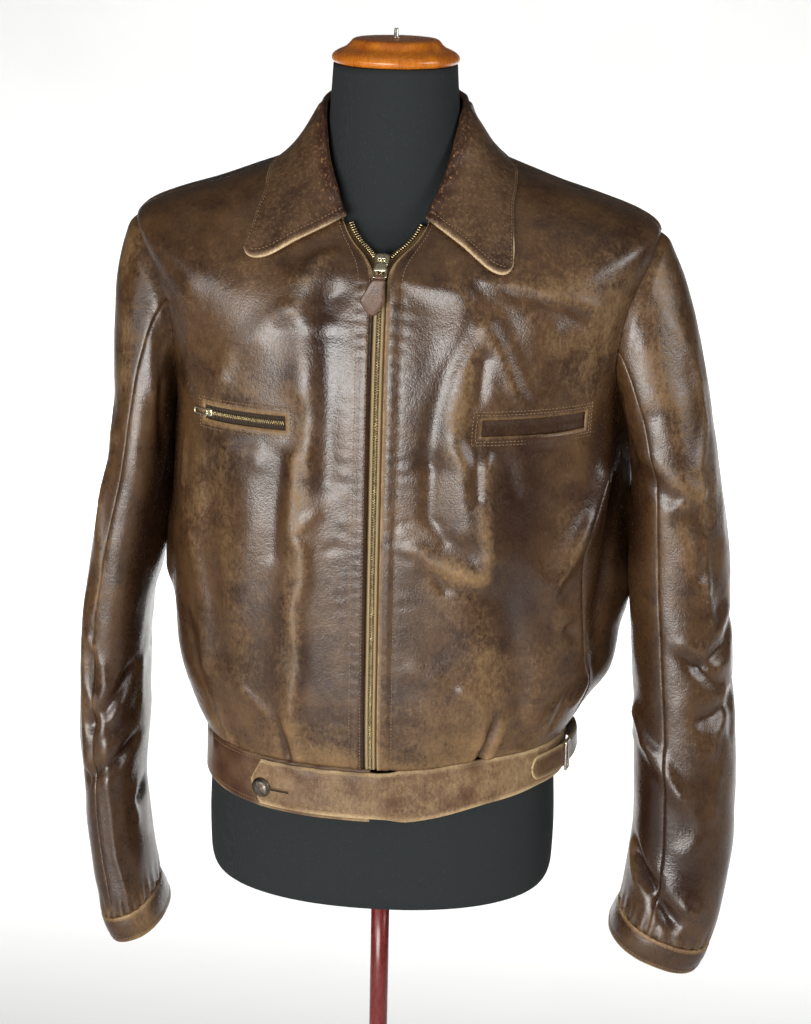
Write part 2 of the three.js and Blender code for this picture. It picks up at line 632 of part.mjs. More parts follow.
// Leaving the armhole the wall leans as the body's does, except in the fold under the arm
function sleeveNormal(side, q, t) {
  const surface = (a, b) => sleeve(side, Math.max(a, -capLength), (b + 1) % 1);
  const own = normalOf(surface, q, t, 0.01, 0.012, signs[side]);
  const away = smooth((q + capLength) / 0.09);
  const under = smooth(1 - Math.min(t, 1 - t) / 0.1);
  return armholeAt(side, t).normal.lerp(own, Math.max(away, under)).normalize();
}

function sleevePanel(side, shares) {
  const points = [];
  const normals = [];
  for (const q of sleeveRows) {
    points.push(shares.map((t) => {
      const start = smooth(1 - (q + capLength) / 0.02);
      const point = sleeve(side, q, (t + 1) % 1);
      return point.addScaledVector(headDirection(side, t).normalize(), start * seam);
    }));
    normals.push(shares.map((t) => sleeveNormal(side, q, (t + 1) % 1)));
  }
  return wallGeometry(points, normals, wall);
}

const sleeveTrim = seam / sleeveGirth / 2;
function buildSleeves() {
  for (const side of ["right", "left"]) {
    const column = (row) => roundShares.indexOf(rowShare(armholeRows[row]));
    const front = column(sleeveSeams[side].front);
    const back = roundShares.length - 1 - column(sleeveSeams[side].back);
    const top = roundShares.slice(front, back + 1);
    const under = [...roundShares.slice(back), ...roundShares.slice(1, front + 1).map((t) => t + 1)];
    for (const [name, shares] of [["top", top], ["under", under]]) {
      const trimmed = [...shares];
      trimmed[0] += sleeveTrim;
      trimmed[trimmed.length - 1] -= sleeveTrim;
      add(`sleeve_${side}_${name}`, sleevePanel(side, trimmed), leather);
    }
    add(`cuff_${side}`, cuffGeometry(side), wornLeather);
  }
}

function cuffGeometry(side) {
  const shares = evenly(22).slice(0, -1);
  const tilt = rad(sleeveTracks[side].tilt(1));
  const away = vec(signs[side] * Math.sin(tilt), sleeveFall, -Math.cos(tilt)).normalize();
  const points = [];
  const normals = [];
  for (const along of [0, 0.5, 1]) {
    const rowNormals = shares.map((t) => {
      const normal = plainSleeveNormal(side, 0.99, t);
      return normal.addScaledVector(away, -normal.dot(away)).normalize();
    });
    normals.push(rowNormals);
    points.push(shares.map((t, i) => sleeveRing(side, 1, t)
      .addScaledVector(away, cuffGap + along * cuffHeight)
      .addScaledVector(rowNormals[i], cuffProud)));
  }
  return wallGeometry(points, normals, cuffWall, true);
}

// Collar: the stand rises from the neck seam to the roll, the fall turns over it and lies on the body
const standHeight = track(standHeightStops);
const edgeTracks = {
  right: { round: track(collarEdge.right.round), level: track(collarEdge.right.level) },
  left: { round: track(collarEdge.left.round), level: track(collarEdge.left.level) },
};
const neckRound = (c) => THREE.MathUtils.lerp(180, collarEnd, Math.abs(c));
const collarSide = (c) => (c < 0 ? "right" : "left");
const aroundBack = (c, degrees) => (c < 0 ? 360 - degrees : degrees);

function neckPlace(c) {
  const point = plainBody(aroundBack(c, neckRound(c)), 1);
  const outward = vec(point.x, point.y - levels.at(-1).mid, 0).normalize();
  return { point, outward };
}

// Square to the roll line and upwards
function rollUp(c) {
  const along = rollPoint(Math.min(c + 0.01, 1)).sub(rollPoint(Math.max(c - 0.01, -1))).normalize();
  return vec(0, 0, 1).addScaledVector(along, -along.z).normalize();
}

function rollPoint(c) {
  const { point, outward } = neckPlace(c);
  const height = standHeight(Math.abs(c));
  return point.addScaledVector(outward, -standLean * height / standHeight(0.5)).add(vec(0, 0, height));
}

// Where the fall lies on the body for its share w from the neck seam to its outer edge
function fallPlace(c, w) {
  const edge = edgeTracks[collarSide(c)];
  const degrees = THREE.MathUtils.lerp(neckRound(c), edge.round(Math.abs(c)), w);
  const v = THREE.MathUtils.lerp(1, edge.level(Math.abs(c)), w);
  return { degrees: aroundBack(c, degrees), v };
}

function fallPoint(c, w, out, up) {
  const { degrees, v } = fallPlace(c, w);
  const lift = rollPoint(c).sub(neckPlace(c).point).multiplyScalar((1 - w) ** 2);
  return body(degrees, v)
    .addScaledVector(plainNormal(degrees, v), w * (collarWall + collarLift * (1 - w ** 6) + collarRest))
    .add(lift)
    .addScaledVector(neckPlace(c).outward, out)
    .addScaledVector(rollUp(c), up);
}

// The tip is rounded: the ends draw in along a quarter of an ellipse
const collarReach = (w) => (
  1 - tipReach * (1 - Math.sqrt(1 - THREE.MathUtils.clamp((w - tipStart) / (1 - tipStart), 0, 1) ** 2)));

function buildCollar() {
  const shares = evenly(collarColumns).map((share) => power(2 * share - 1, 0.8));
  const fallRows = [...collarRoll, ...collarRows.map((w) => ({ w, out: rollOut * (1 - w), up: 0 }))];
  const at = (c, row) => fallPoint(c * collarReach(row.w), row.w, row.out, row.up);
  const points = fallRows.map((row) => shares.map((c) => at(c, row)));
  const normals = fallRows.map((row, j) => shares.map((c, i) => {
    const before = points[Math.max(j - 1, 0)][i];
    const after = points[Math.min(j + 1, fallRows.length - 1)][i];
    const along = at(Math.min(c + 0.02, 1), row).sub(at(Math.max(c - 0.02, -1), row));
    return along.cross(after.clone().sub(before)).normalize();
  }));
  add("collar_fall", wallGeometry(points, normals, collarWall), wornLeather);

  const standRows = [0, 1];
  const standPoints = standRows.map((rise) => shares.map((c) => {
    const from = neckPlace(c).point.add(vec(0, 0, 1));
    return from.lerp(rollPoint(c), rise);
  }));
  const standNormals = standRows.map(() => shares.map((c) => neckPlace(c).outward));
  add("collar_stand", wallGeometry(standPoints, standNormals, wall), leather);
}

// Waistband: straight down from the waist seam, deeper in front than at the left side
const bandHeightAt = track(bandHeightStops);
const bandHeight = (degrees) => bandHeightAt(degrees > 180 ? degrees - 360 : degrees);

function bandNormal(degrees) {
  const along = ringPoint(levels[0], rad(degrees + 0.5)).sub(ringPoint(levels[0], rad(degrees - 0.5)));
  return vec(along.y, -along.x, 0).normalize();
}

function bandPoint(degrees, drop, out) {
  const spread = bandSpread * drop / bandHeight(0);
  return plainBody(degrees, 0)
    .addScaledVector(bandNormal(degrees), out + spread)
    .add(vec(0, 0, -drop));
}

// A wall on the band, with its upper and lower edges and its distance out given at each angle
function bandWallOver(angles, upper, lower, out, thickness) {
  const points = [0, 0.5, 1].map((share) => angles.map((degrees) => bandPoint(
    degrees, THREE.MathUtils.lerp(lower(degrees), upper(degrees), share), out(degrees))));
  const normals = points.map(() => angles.map((degrees) => bandNormal(degrees)));
  return wallGeometry(points, normals, thickness);
}

const bandTrim = 0.1; // degrees, half the gap at a seam
const bandTop = () => 0.5;
const flush = () => 0;

// The left half runs on past the centre as a pointed tab that lies on the right half
const tabShare = (degrees) => smooth((9 - degrees) / 7);
const tabOut = (degrees) => (bandWall + seam) * tabShare(degrees);
const tabPoint = (degrees) => THREE.MathUtils.clamp((degrees - tab.to) / tab.point, 0.08, 1);
const tabUpper = (degrees) => (
  bandTop() + tab.drop * tabShare(degrees) + (1 - tabPoint(degrees)) * tab.height / 2);
const tabLower = (degrees) => (
  bandHeight(degrees) - tab.rise * tabShare(degrees) - (1 - tabPoint(degrees)) * tab.height / 2);

function buildBand() {
  const rightSeam = sideSeamStops.right[0][1];
  const leftSeam = sideSeamStops.left[0][1];
  const rightAngles = between(-rightSeam + bandTrim, -bandTrim, 12);
  add("band_right", bandWallOver(rightAngles, bandTop, bandHeight, flush, bandWall), wornLeather);
  const tabAngles = [tab.to, ...between(tab.to + tab.point, 0, 6), 2, 4, 6];
  const leftAngles = [...tabAngles, ...between(9, leftSeam - bandTrim, 10)];
  add("band_left", bandWallOver(leftAngles, tabUpper, tabLower, tabOut, bandWall), wornLeather);
  const backAngles = between(leftSeam + bandTrim, 360 - rightSeam - bandTrim, 22);
  add("band_back", bandWallOver(backAngles, bandTop, bandHeight, flush, bandWall), leather);
}

// Puts a piece made in the XY plane with +Z outwards on a place of the jacket, with +Y turned up the surface
function seat(mesh, point, normal, up) {
  const right = up.clone().cross(normal).normalize();
  const upward = normal.clone().cross(right).normalize();
  mesh.quaternion.setFromRotationMatrix(new THREE.Matrix4().makeBasis(right, upward, normal));
  mesh.position.copy(point);
  return mesh;
}

function buildButton() {
  const { radius, rise } = button;
  const profile = [[0, 0], [radius - 1, 0], [radius, 0.9], [radius - 0.4, 1.8], [radius * 0.82, rise * 0.72],
    [radius * 0.45, rise * 0.95], [0, rise]];
  const dome = new THREE.LatheGeometry(profile.map(([r, h]) => new THREE.Vector2(r, h)), 16);
  dome.rotateX(Math.PI / 2);
  const place = bandPoint(button.round, button.drop, bandWall + 2 * seam);
  seat(add("button", dome, steel), place, bandNormal(button.round), vec(0, 0, 1));
}

// Side strap: sewn behind, standing off round the side and lying on the band at its rounded tip
const strapBuckleRise = (degrees) => 2 * Math.exp(-(((degrees - buckle.round) / 7) ** 2));
const strapOut = (degrees) => seam + strap.wall + strapBuckleRise(degrees)
  + strap.standOff * Math.exp(-(((degrees - strap.standAt) / 13) ** 2));

function strapHalf(degrees) {
  const fromTip = (degrees - strap.tip) * foldMmPerDegree;
  const radius = strap.height / 2;
  return fromTip >= radius ? radius : Math.max(2.5, Math.sqrt(radius ** 2 - (radius - fromTip) ** 2));
}

function buildStrap() {
  const angles = [strap.tip, strap.tip + 1.2, strap.tip + 2.6, ...between(strap.tip + 5, strap.end, 14)];
  const upper = (degrees) => strap.drop - strapHalf(degrees);
  const lower = (degrees) => strap.drop + strapHalf(degrees);
  add("strap", bandWallOver(angles, upper, lower, strapOut, strap.wall), leather);

  const frame = rectangle(buckle.reach, buckle.width, 2);
  frame.holes.push(rectangle(buckle.reach - 2 * buckle.bar, buckle.width - 2 * buckle.bar, 0.8));
  const cut = { depth: buckle.bar, bevelEnabled: false, curveSegments: 3 };
  const geometry = new THREE.ExtrudeGeometry(frame, cut);
  const place = bandPoint(buckle.round, strap.drop, strapOut(buckle.round) + 2 * seam);
  seat(add("buckle", geometry, steel), place, bandNormal(buckle.round), vec(0, 0, 1));
}

function rectangle(width, height, corner) {
  const [x, y] = [width / 2, height / 2];
  const shape = new THREE.Shape();
  shape.moveTo(-x + corner, -y);
  shape.lineTo(x - corner, -y);
  shape.quadraticCurveTo(x, -y, x, -y + corner);
  shape.lineTo(x, y - corner);
  shape.quadraticCurveTo(x, y, x - corner, y);
  shape.lineTo(-x + corner, y);
  shape.quadraticCurveTo(-x, y, -x, y - corner);
  shape.lineTo(-x, -y + corner);
  shape.quadraticCurveTo(-x, -y, -x + corner, -y);
  return shape;
}

// Front zip: tapes behind the front edges, closed teeth up to the slider and open teeth along the V above it
function zipStrip(rows, fromMm, toMm, sign, out, thickness) {
  const points = [];
  const normals = [];
  for (const v of rows) {
    const edge = (level) => body(sign * frontEdge(level), level);
    const normal = bodyNormal(sign * frontEdge(v), v);
    const along = edge(Math.min(v + 0.004, 1)).sub(edge(Math.max(v - 0.004, 0)));
    const across = along.cross(normal).normalize().multiplyScalar(-sign);
    normals.push([normal, normal]);
    points.push([fromMm(v), toMm(v)].map((mm) => (
      edge(v).addScaledVector(across, mm).addScaledVector(normal, out))));
  }
  return wallGeometry(points, normals, thickness);
}

function buildZip() {
  const behind = -(wall + tapeGap);
  const tapeShow = track(tapeShowStops);
  for (const side of ["right", "left"]) {
    const sign = signs[side];
    add(`zip_tape_${side}`, zipStrip(bodyRows, tapeShow, () => -tapeUnder, sign, behind, tapeWall), tapeCloth);
    const open = bodyRows.filter((v) => v > zipTop);
    const teethEnd = (v) => tapeShow(v) - teethShow;
    const teeth = zipStrip(open, tapeShow, teethEnd, sign, behind + seam + teethWall, teethWall);
    add(`zip_teeth_${side}`, teeth, brass);
  }
  const closed = [...bodyRows.filter((v) => v < slider.level), slider.level];
  const points = [];
  const normals = [];
  for (const v of closed) {
    const half = chainHalf / bodySpeed(0, v);
    const angles = [-half, half];
    normals.push(angles.map((degrees) => bodyNormal(degrees, v)));
    points.push(angles.map((degrees, i) => (
      body(degrees, v).addScaledVector(normals.at(-1)[i], behind + seam + teethWall))));
  }
  add("zip_chain", wallGeometry(points, normals, teethWall), brass);
  buildSlider();
}

// A slider body with its bail, made with +Y up the zip and +Z outwards
function sliderGeometry(width, length, thick, arch) {
  const outline = new THREE.Shape();
  outline.moveTo(-width * 0.36, -length / 2);
  outline.lineTo(width * 0.36, -length / 2);
  outline.lineTo(width / 2, length * 0.1);
  outline.lineTo(width / 2, length * 0.38);
  outline.lineTo(width * 0.3, length / 2);
  outline.lineTo(-width * 0.3, length / 2);
  outline.lineTo(-width / 2, length * 0.38);
  outline.lineTo(-width / 2, length * 0.1);
  outline.closePath();
  const plate = new THREE.ExtrudeGeometry(outline, { depth: thick, bevelEnabled: false });
  const bridge = new THREE.BoxGeometry(arch.width, arch.length, arch.clear + arch.thick);
  bridge.translate(0, 0, thick + (arch.clear + arch.thick) / 2 - 0.05);
  const window = new THREE.BoxGeometry(arch.width + 2, arch.length - 2 * arch.foot, arch.clear);
  window.translate(0, 0, thick + arch.clear / 2);
  return toGeometry(toSolid(plate).add(toSolid(bridge).subtract(toSolid(window))));
}

// A flat link with its top bar on the X axis, hanging along -Y
function linkGeometry(width, length, bar, thick) {
  const outer = rectangle(width, length, 1.6);
  outer.holes.push(rectangle(width - 2 * bar, length - 2 * bar, 0.6));
  const geometry = new THREE.ExtrudeGeometry(outer, { depth: thick, bevelEnabled: false, curveSegments: 3 });
  return geometry.translate(0, bar / 2 - length / 2, -thick / 2);
}

// The front zip's flat pull, wider at its end, with an eye for the bail and a slot for the fob
function pullGeometry() {
  const { top, end, length, bar, thick, eye, slot } = link;
  const frame = (path, high, low, topHalf, lowHalf) => {
    path.moveTo(-topHalf, high);
    path.lineTo(-lowHalf, low);
    path.lineTo(lowHalf, low);
    path.lineTo(topHalf, high);
    path.closePath();
    return path;
  };
  const foot = bar / 2 - length;
  const outer = frame(new THREE.Shape(), bar / 2, foot, top / 2, end / 2);
  const eyeHalf = top / 2 - bar - 0.6;
  const slotHalf = end / 2 - bar;
  outer.holes.push(frame(new THREE.Path(), -bar / 2, -bar / 2 - eye, eyeHalf, eyeHalf));
  outer.holes.push(frame(new THREE.Path(), foot + bar + slot, foot + bar, slotHalf - 0.5, slotHalf));
  const geometry = new THREE.ExtrudeGeometry(outer, { depth: thick, bevelEnabled: false });
  return geometry.translate(0, 0, -thick / 2);
}

function buildSlider() {
  const point = body(0, slider.level);
  const normal = bodyNormal(0, slider.level);
  const up = body(0, slider.level + 0.01).sub(body(0, slider.level - 0.01));
  const assembly = new THREE.Group();
  part.add(assembly);
  const teethFace = teethWall + seam - wall - tapeGap;
  seat(assembly, point.addScaledVector(normal, teethFace + seam), normal, up);
  add("zip_slider", sliderGeometry(slider.width, slider.length, slider.thick, bail), brass, assembly);

  const pull = new THREE.Group();
  pull.position.set(0, 0, slider.thick + bail.clear / 2);
  assembly.add(pull);
  add("zip_pull_link", pullGeometry(), brass, pull);
  const outline = new THREE.Shape(fob.outline.map(([x, y]) => new THREE.Vector2(x, y)));
  const leatherFob = new THREE.ExtrudeGeometry(outline, { depth: fob.thick, bevelEnabled: false });
  leatherFob.translate(0, 0, -fob.thick / 2);
  const hung = add("zip_pull_fob", leatherFob, wornLeather, pull);
  hung.position.y = link.bar / 2 - link.length - seam - fob.thick / 2;
  hung.rotation.x = rad(fobHang);
}

// Pockets: behind each mouth a strip closes it; the right one is a zip, the left one a leather welt
function buildPockets() {
  const behind = -(wall + pocketGap);
  const wide = between(-0.07, 1.07, 9);
  const reach = (pocket) => pocket.height / 2 + pocketMargin;
  const { right, left } = pockets;
  const tape = pocketStrip(right, wide, -reach(right), reach(right), behind, tapeWall);
  add("pocket_zip_tape", tape, tapeCloth);
  add("pocket_welt", pocketStrip(left, wide, -reach(left), reach(left), behind, wall), leather);
  const half = pocketZip.chain / 2;
  const chainShares = between(0.13, 0.985, 8);
  const face = behind + seam + pocketZip.teeth;
  add("pocket_zip_chain", pocketStrip(right, chainShares, -half, half, face, pocketZip.teeth), brass);

  const place = pocketPlace(right, pocketZip.at, 0);
  const inwards = pocketPlace(right, pocketZip.at + 0.035, 0).point;
  const along = inwards.sub(pocketPlace(right, pocketZip.at - 0.035, 0).point);
  const assembly = new THREE.Group();
  part.add(assembly);
  seat(assembly, place.point.addScaledVector(place.normal, behind + seam), place.normal, along);
  const plate = sliderGeometry(pocketZip.width, pocketZip.length, pocketZip.thick, pocketBail);
  add("pocket_zip_slider", plate, brass, assembly);
  const pull = linkGeometry(pocketPull.width, pocketPull.length, pocketPull.bar, pocketPull.thick);
  pull.translate(0, 0, pocketZip.thick + pocketBail.clear / 2);
  add("pocket_zip_pull", pull, brass, assembly);
}

// Dress form
function buildForm() {
  const rows = formRings.length;
  const position = [];
  for (const ring of formRings) {
    for (let i = 0; i < formColumns; i += 1) {
      const p = ringPoint(ring, 2 * Math.PI * i / formColumns);
      position.push(p.x, p.y, p.z);
    }
  }
  position.push(0, 0, formRings[0].zSide, 0, formRings.at(-1).mid, formRings.at(-1).zSide);
  const index = [];
  const at = (j, i) => j * formColumns + (i % formColumns);
  for (let i = 0; i < formColumns; i += 1) {
    for (let j = 0; j + 1 < rows; j += 1) {
      index.push(at(j, i), at(j, i + 1), at(j + 1, i + 1), at(j, i), at(j + 1, i + 1), at(j + 1, i));
    }
    index.push(rows * formColumns, at(0, i + 1), at(0, i));
    index.push(rows * formColumns + 1, at(rows - 1, i), at(rows - 1, i + 1));
  }
  add("form_body", facingOut(position, index), jersey);

  const turned = (profile, sides) => {
    const lathe = new THREE.LatheGeometry(profile.map(([r, h]) => new THREE.Vector2(r, h)), sides);
    return lathe.rotateX(Math.PI / 2);
  };
  add("form_cap", turned(capProfile, 28), capWood);
  add("form_stud", turned(studProfile, 10), steel);
  add("foot", turned(footProfile, 36), poleWood);
  const length = formBottom - footTop - 2 * seam;
  const pole = new THREE.CylinderGeometry(poleRadius, poleRadius, length, 20);
  add("pole", pole.rotateX(Math.PI / 2).translate(0, 0, footTop + seam + length / 2), poleWood);
}

buildFronts();
buildBack();
buildSleeves();
buildCollar();
buildBand();
buildButton();
buildStrap();
buildZip();
buildPockets();
buildForm();

export default part;
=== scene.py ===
import bpy
import numpy as np
from mathutils import Matrix


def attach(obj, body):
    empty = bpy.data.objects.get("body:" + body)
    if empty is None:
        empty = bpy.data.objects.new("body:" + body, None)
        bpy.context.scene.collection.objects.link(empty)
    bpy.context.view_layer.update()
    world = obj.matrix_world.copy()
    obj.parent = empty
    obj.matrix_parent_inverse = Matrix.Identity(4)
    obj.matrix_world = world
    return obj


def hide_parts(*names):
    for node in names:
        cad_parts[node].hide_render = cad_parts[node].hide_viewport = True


# A worn brown leather zip jacket on a black dress form, dressed over its solids.
# Lengths are in millimetres until a mesh is made; degrees run round the body from the centre front.
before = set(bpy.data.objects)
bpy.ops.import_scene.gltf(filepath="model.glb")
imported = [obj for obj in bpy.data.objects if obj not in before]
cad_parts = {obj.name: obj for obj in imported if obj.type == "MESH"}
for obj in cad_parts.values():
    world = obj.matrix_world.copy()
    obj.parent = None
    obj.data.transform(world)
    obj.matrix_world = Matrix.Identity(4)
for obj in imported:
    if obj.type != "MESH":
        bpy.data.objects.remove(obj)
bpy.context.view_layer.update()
mm = 0.001
signs = {"right": -1, "left": 1}  # the wearer's sides


# Smooth step from 0 to 1: three times the square less twice the cube
def smooth(t):
    t = np.clip(t, 0, 1)
    return t * t * (3 - 2 * t)


# Bell curve: e to the minus of the distance over the width, squared unless another power is given
def bell(distance, width, power=2):
    return np.exp(-((distance / width) ** power))


# How far a value is outside a range
def outside(value, low, high):
    return np.maximum(np.maximum(low - value, value - high), 0)


# Points from their coordinates, spread to one shape
def stacked(*parts):
    return np.stack(np.broadcast_arrays(*parts), -1)


# Cubic through [position, value] stops whose slopes are the weighted harmonic means of the chords, so it never
# overshoots
def track(stops):
    x, y = np.asarray(stops, float).T
    h = np.diff(x)
    d = np.diff(y) / h
    m = np.zeros_like(y)
    same = d[:-1] * d[1:] > 0
    a, b = 2 * h[1:] + h[:-1], h[1:] + 2 * h[:-1]
    m[1:-1] = np.where(same, (a + b) / (a / np.where(same, d[:-1], 1) + b / np.where(same, d[1:], 1)), 0)
    m[0], m[-1] = d[0], d[-1]

    def value(t):
        t = np.clip(np.asarray(t, float), x[0], x[-1])
        k = np.clip(np.searchsorted(x, t, side="right") - 1, 0, len(x) - 2)
        s = (t - x[k]) / h[k]
        r = 1 - s
        start = (1 + 2 * s) * r * r * y[k] + s * r * r * h[k] * m[k]
        return start + s * s * (3 - 2 * s) * y[k + 1] - s * s * r * h[k] * m[k + 1]

    return value


# Power of the size of a value, with its sign kept
def signedPower(value, exponent):
    return np.sign(value) * np.abs(value) ** exponent


# A vector over its length
def unit(v):
    return v / np.maximum(np.linalg.norm(v, axis=-1, keepdims=True), 1e-9)


# Straight blend of two values by a share
def mixed(a, b, share):
    return a + (b - a) * share


# Distance from places (across, along) to a path of straight pieces, the least over the pieces
def pathDistance(path, across, along):
    nearest = np.full(np.broadcast(across, along).shape, 1e9)
    for (ax, ay), (bx, by) in zip(path[:-1], path[1:]):
        dx, dy = bx - ax, by - ay
        share = np.clip(((across - ax) * dx + (along - ay) * dy) / (dx * dx + dy * dy + 1e-9), 0, 1)
        nearest = np.minimum(nearest, np.hypot(across - ax - share * dx, along - ay - share * dy))
    return nearest


# Sum of folds: each is a bell curve of the distance to its path, with its own half width and rise
def foldHeight(folds, acrossScale, alongScale, across, along):
    height = 0.0
    for path, width, rise in folds:
        scaled = np.asarray(path, float) * (acrossScale, alongScale)
        height = height + rise * bell(pathDistance(scaled, across * acrossScale, along * alongScale), width)
    return height


# Sum of soft spots: each is a bell curve of the distance to a centre, with half widths across and along
def spots(places, acrossScale, alongScale, across, along):
    total = 0.0
    for a, b, wide, high, amount in places:
        x, y = (across - a) * acrossScale / wide, (along - b) * alongScale / high
        total = total + amount * np.exp(-(x ** 2) - y ** 2)
    return total


# Uneven hide: a sum of sine waves over space in fixed directions, from 26 to 90 mm long
waveRng = np.random.default_rng(11)
waveWays = unit(waveRng.normal(size=(14, 3)))
waveLengths = waveRng.uniform(26, 90, 14)
wavePhases = waveRng.uniform(0, 2 * np.pi, 14)
def unevenness(points):
    phase = points @ (waveWays / waveLengths[:, None]).T * 2 * np.pi + wavePhases
    return (np.sin(phase) * waveLengths / 90).sum(-1) / 4


# Normal of a grid of points: the cross product of its two central differences
def gridNormals(points, closed=False, flip=1):
    if closed:
        wrapped = np.concatenate([points[:, -2:-1], points, points[:, 1:2]], 1)
        across = np.gradient(wrapped, axis=1)[:, 1:-1]
    else:
        across = np.gradient(points, axis=1)
    return unit(np.cross(across, np.gradient(points, axis=0))) * flip


# Height that stands above its surroundings on the grid: the height less its average over a window
def ridges(height, window):
    blurred = height
    for axis in (0, 1):
        pad = [(window, window) if k == axis else (0, 0) for k in (0, 1)]
        padded = np.pad(blurred, pad, mode="edge")
        total = np.cumsum(padded, axis)
        size = 2 * window
        first = np.arange(total.shape[axis] - size)
        blurred = (np.take(total, first + size, axis) - np.take(total, first, axis)) / size
    return height - blurred


# A mesh in metres from points in millimetres, quads, and values that its points carry
def newMesh(name, vertices, faces, attributes=None):
    mesh = bpy.data.meshes.new(name)
    sides = faces.shape[1]
    mesh.vertices.add(len(vertices))
    mesh.vertices.foreach_set("co", (vertices * mm).astype(np.float32).ravel())
    mesh.loops.add(faces.size)
    mesh.polygons.add(len(faces))
    mesh.loops.foreach_set("vertex_index", faces.astype(np.int32).ravel())
    mesh.polygons.foreach_set("loop_start", np.arange(0, faces.size, sides, dtype=np.int32))
    mesh.polygons.foreach_set("use_smooth", np.full(len(faces), True))
    mesh.update(calc_edges=True)
    for key, values in (attributes or {}).items():
        layer = mesh.attributes.new(key, "FLOAT", "POINT")
        layer.data.foreach_set("value", np.full(len(vertices), values, np.float32))
    mesh.validate()
    return mesh


# Quads of a grid of points that closes round its rows
def roundFaces(rows, columns):
    index = np.arange(rows * columns).reshape(rows, columns)
    index = np.concatenate([index, index[:, :1]], 1)
    return np.stack([index[:-1, :-1], index[:-1, 1:], index[1:, 1:], index[1:, :-1]], -1).reshape(-1, 4)


# Both ends of a row of rings closed by quads that meet in a centre point
def capped(points, faces, turn):
    rows, columns = points.shape[:2]
    vertices = points.reshape(-1, 3)
    for row, way in ((0, turn), (rows - 1, -turn)):
        ring = np.arange(columns) + row * columns
        corners = [np.roll(ring, -k)[0::2] for k in range(3)]
        cap = np.stack([*corners, np.full(len(corners[0]), len(vertices))], 1)
        vertices = np.concatenate([vertices, points[row].mean(0)[None]])
        faces = np.concatenate([faces, cap[:, ::way]])
    return vertices, faces


# Values of a grid along a line that crosses each column at a row between two rows
def betweenRows(values, rows):
    low = np.clip(np.floor(rows).astype(int), 0, len(values) - 2)
    columns = np.arange(values.shape[1])
    return mixed(values[low, columns], values[low + 1, columns], (rows - low)[:, None])


# A piece in the scene, with its body and the nodes that it stands for; its slot is not used
def place(name, mesh, material, body="stand", nodes=(), slot="leather"):
    piece = bpy.data.objects.new(name, mesh)
    bpy.context.scene.collection.objects.link(piece)
    mesh.materials.append(material)
    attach(piece, body)
    if nodes:
        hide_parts(*nodes)
    return piece


# A closed wall: the outer grid, an inner grid one wall further in, and a rounded rim wherever the kept quads end
def wallMesh(name, points, wall, attributes=None, keep=None, closed=False, flip=1, round=0.5):
    rows, columns = points.shape[:2]
    normals = gridNormals(points, closed, flip)
    if closed:
        points, normals = points[:, :-1], normals[:, :-1]
        columns -= 1
    index = np.arange(rows * columns).reshape(rows, columns)
    if closed:
        index = np.concatenate([index, index[:, :1]], 1)
    quads = np.stack([index[:-1, :-1], index[:-1, 1:], index[1:, 1:], index[1:, :-1]], -1)
    keep = np.ones(quads.shape[:2], bool) if keep is None else keep
    kept = quads[keep]
    if flip < 0:
        kept = kept[:, ::-1]
    outer, normal = points.reshape(-1, 3), normals.reshape(-1, 3)
    count = len(outer)
    starts = kept.ravel()
    ends = np.roll(kept, -1, 1).ravel()
    there, back = starts * count + ends, ends * count + starts
    rim = ~np.isin(there, back)
    a, b = starts[rim], ends[rim]
    away = np.zeros((count, 3))
    side = np.cross(unit(outer[b] - outer[a]), normal[a])
    np.add.at(away, a, side)
    np.add.at(away, b, side)
    edge = np.unique(np.concatenate([a, b]))
    middle = np.full(count, -1)
    middle[edge] = 2 * count + np.arange(len(edge))
    rounded = outer[edge] - normal[edge] * wall * 0.5 + unit(away[edge]) * wall * 0.5 * round
    vertices = np.concatenate([outer, outer - normal * wall, rounded])
    faces = np.concatenate([
        kept,
        kept[:, ::-1] + count,
        np.stack([b, a, middle[a], middle[b]], 1),
        np.stack([middle[b], middle[a], a + count, b + count], 1),
    ])
    values = {}
    for key, grid in (attributes or {}).items():
        flatGrid = (grid[:, :-1] if closed else grid).reshape(-1)
        values[key] = np.concatenate([flatGrid, flatGrid, flatGrid[edge]])
    used, inverse = np.unique(faces, return_inverse=True)
    faces = inverse.reshape(faces.shape)
    values = {key: value[used] for key, value in values.items()}
    return newMesh(name, vertices[used], faces, values)


# A profile turned about the upright axis: radius and height along it, columns round it
def turnedMesh(name, profile, columns):
    radius, height = np.asarray(profile, float).T[..., None]
    turn = np.linspace(0, 2 * np.pi, columns, endpoint=False)
    points = stacked(radius * np.sin(turn), -radius * np.cos(turn), height)
    return newMesh(name, points.reshape(-1, 3), roundFaces(*points.shape[:2]))


# Copies of one small shape along a path: its x runs along the path, y across it, z out of the surface
def repeatedMesh(name, shape, faces, centres, along, normal):
    across = unit(np.cross(normal, along))
    out = unit(np.cross(along, across))
    x, y, z = [shape[None, :, k:k + 1] for k in range(3)]
    vertices = centres[:, None] + x * along[:, None] + y * across[:, None] + z * out[:, None]
    allFaces = (faces[None] + (np.arange(len(centres)) * len(shape))[:, None, None]).reshape(-1, faces.shape[1])
    return newMesh(name, vertices.reshape(-1, 3), allFaces)


# Even places along a line of points, a pitch apart, with the way along and the normal there
def evenPlaces(line, normals, pitch):
    step = np.linalg.norm(np.diff(line, axis=0), axis=1)
    length = np.concatenate([[0], np.cumsum(step)])
    count = max(int(length[-1] / pitch), 1)
    at = (np.arange(count) + 0.5) * length[-1] / count
    pick = lambda values, places: np.stack([np.interp(places, length, values[:, k]) for k in range(3)], -1)
    ahead = pick(line, at + 0.3) - pick(line, at - 0.3)
    return pick(line, at), unit(ahead), unit(pick(normals, at))


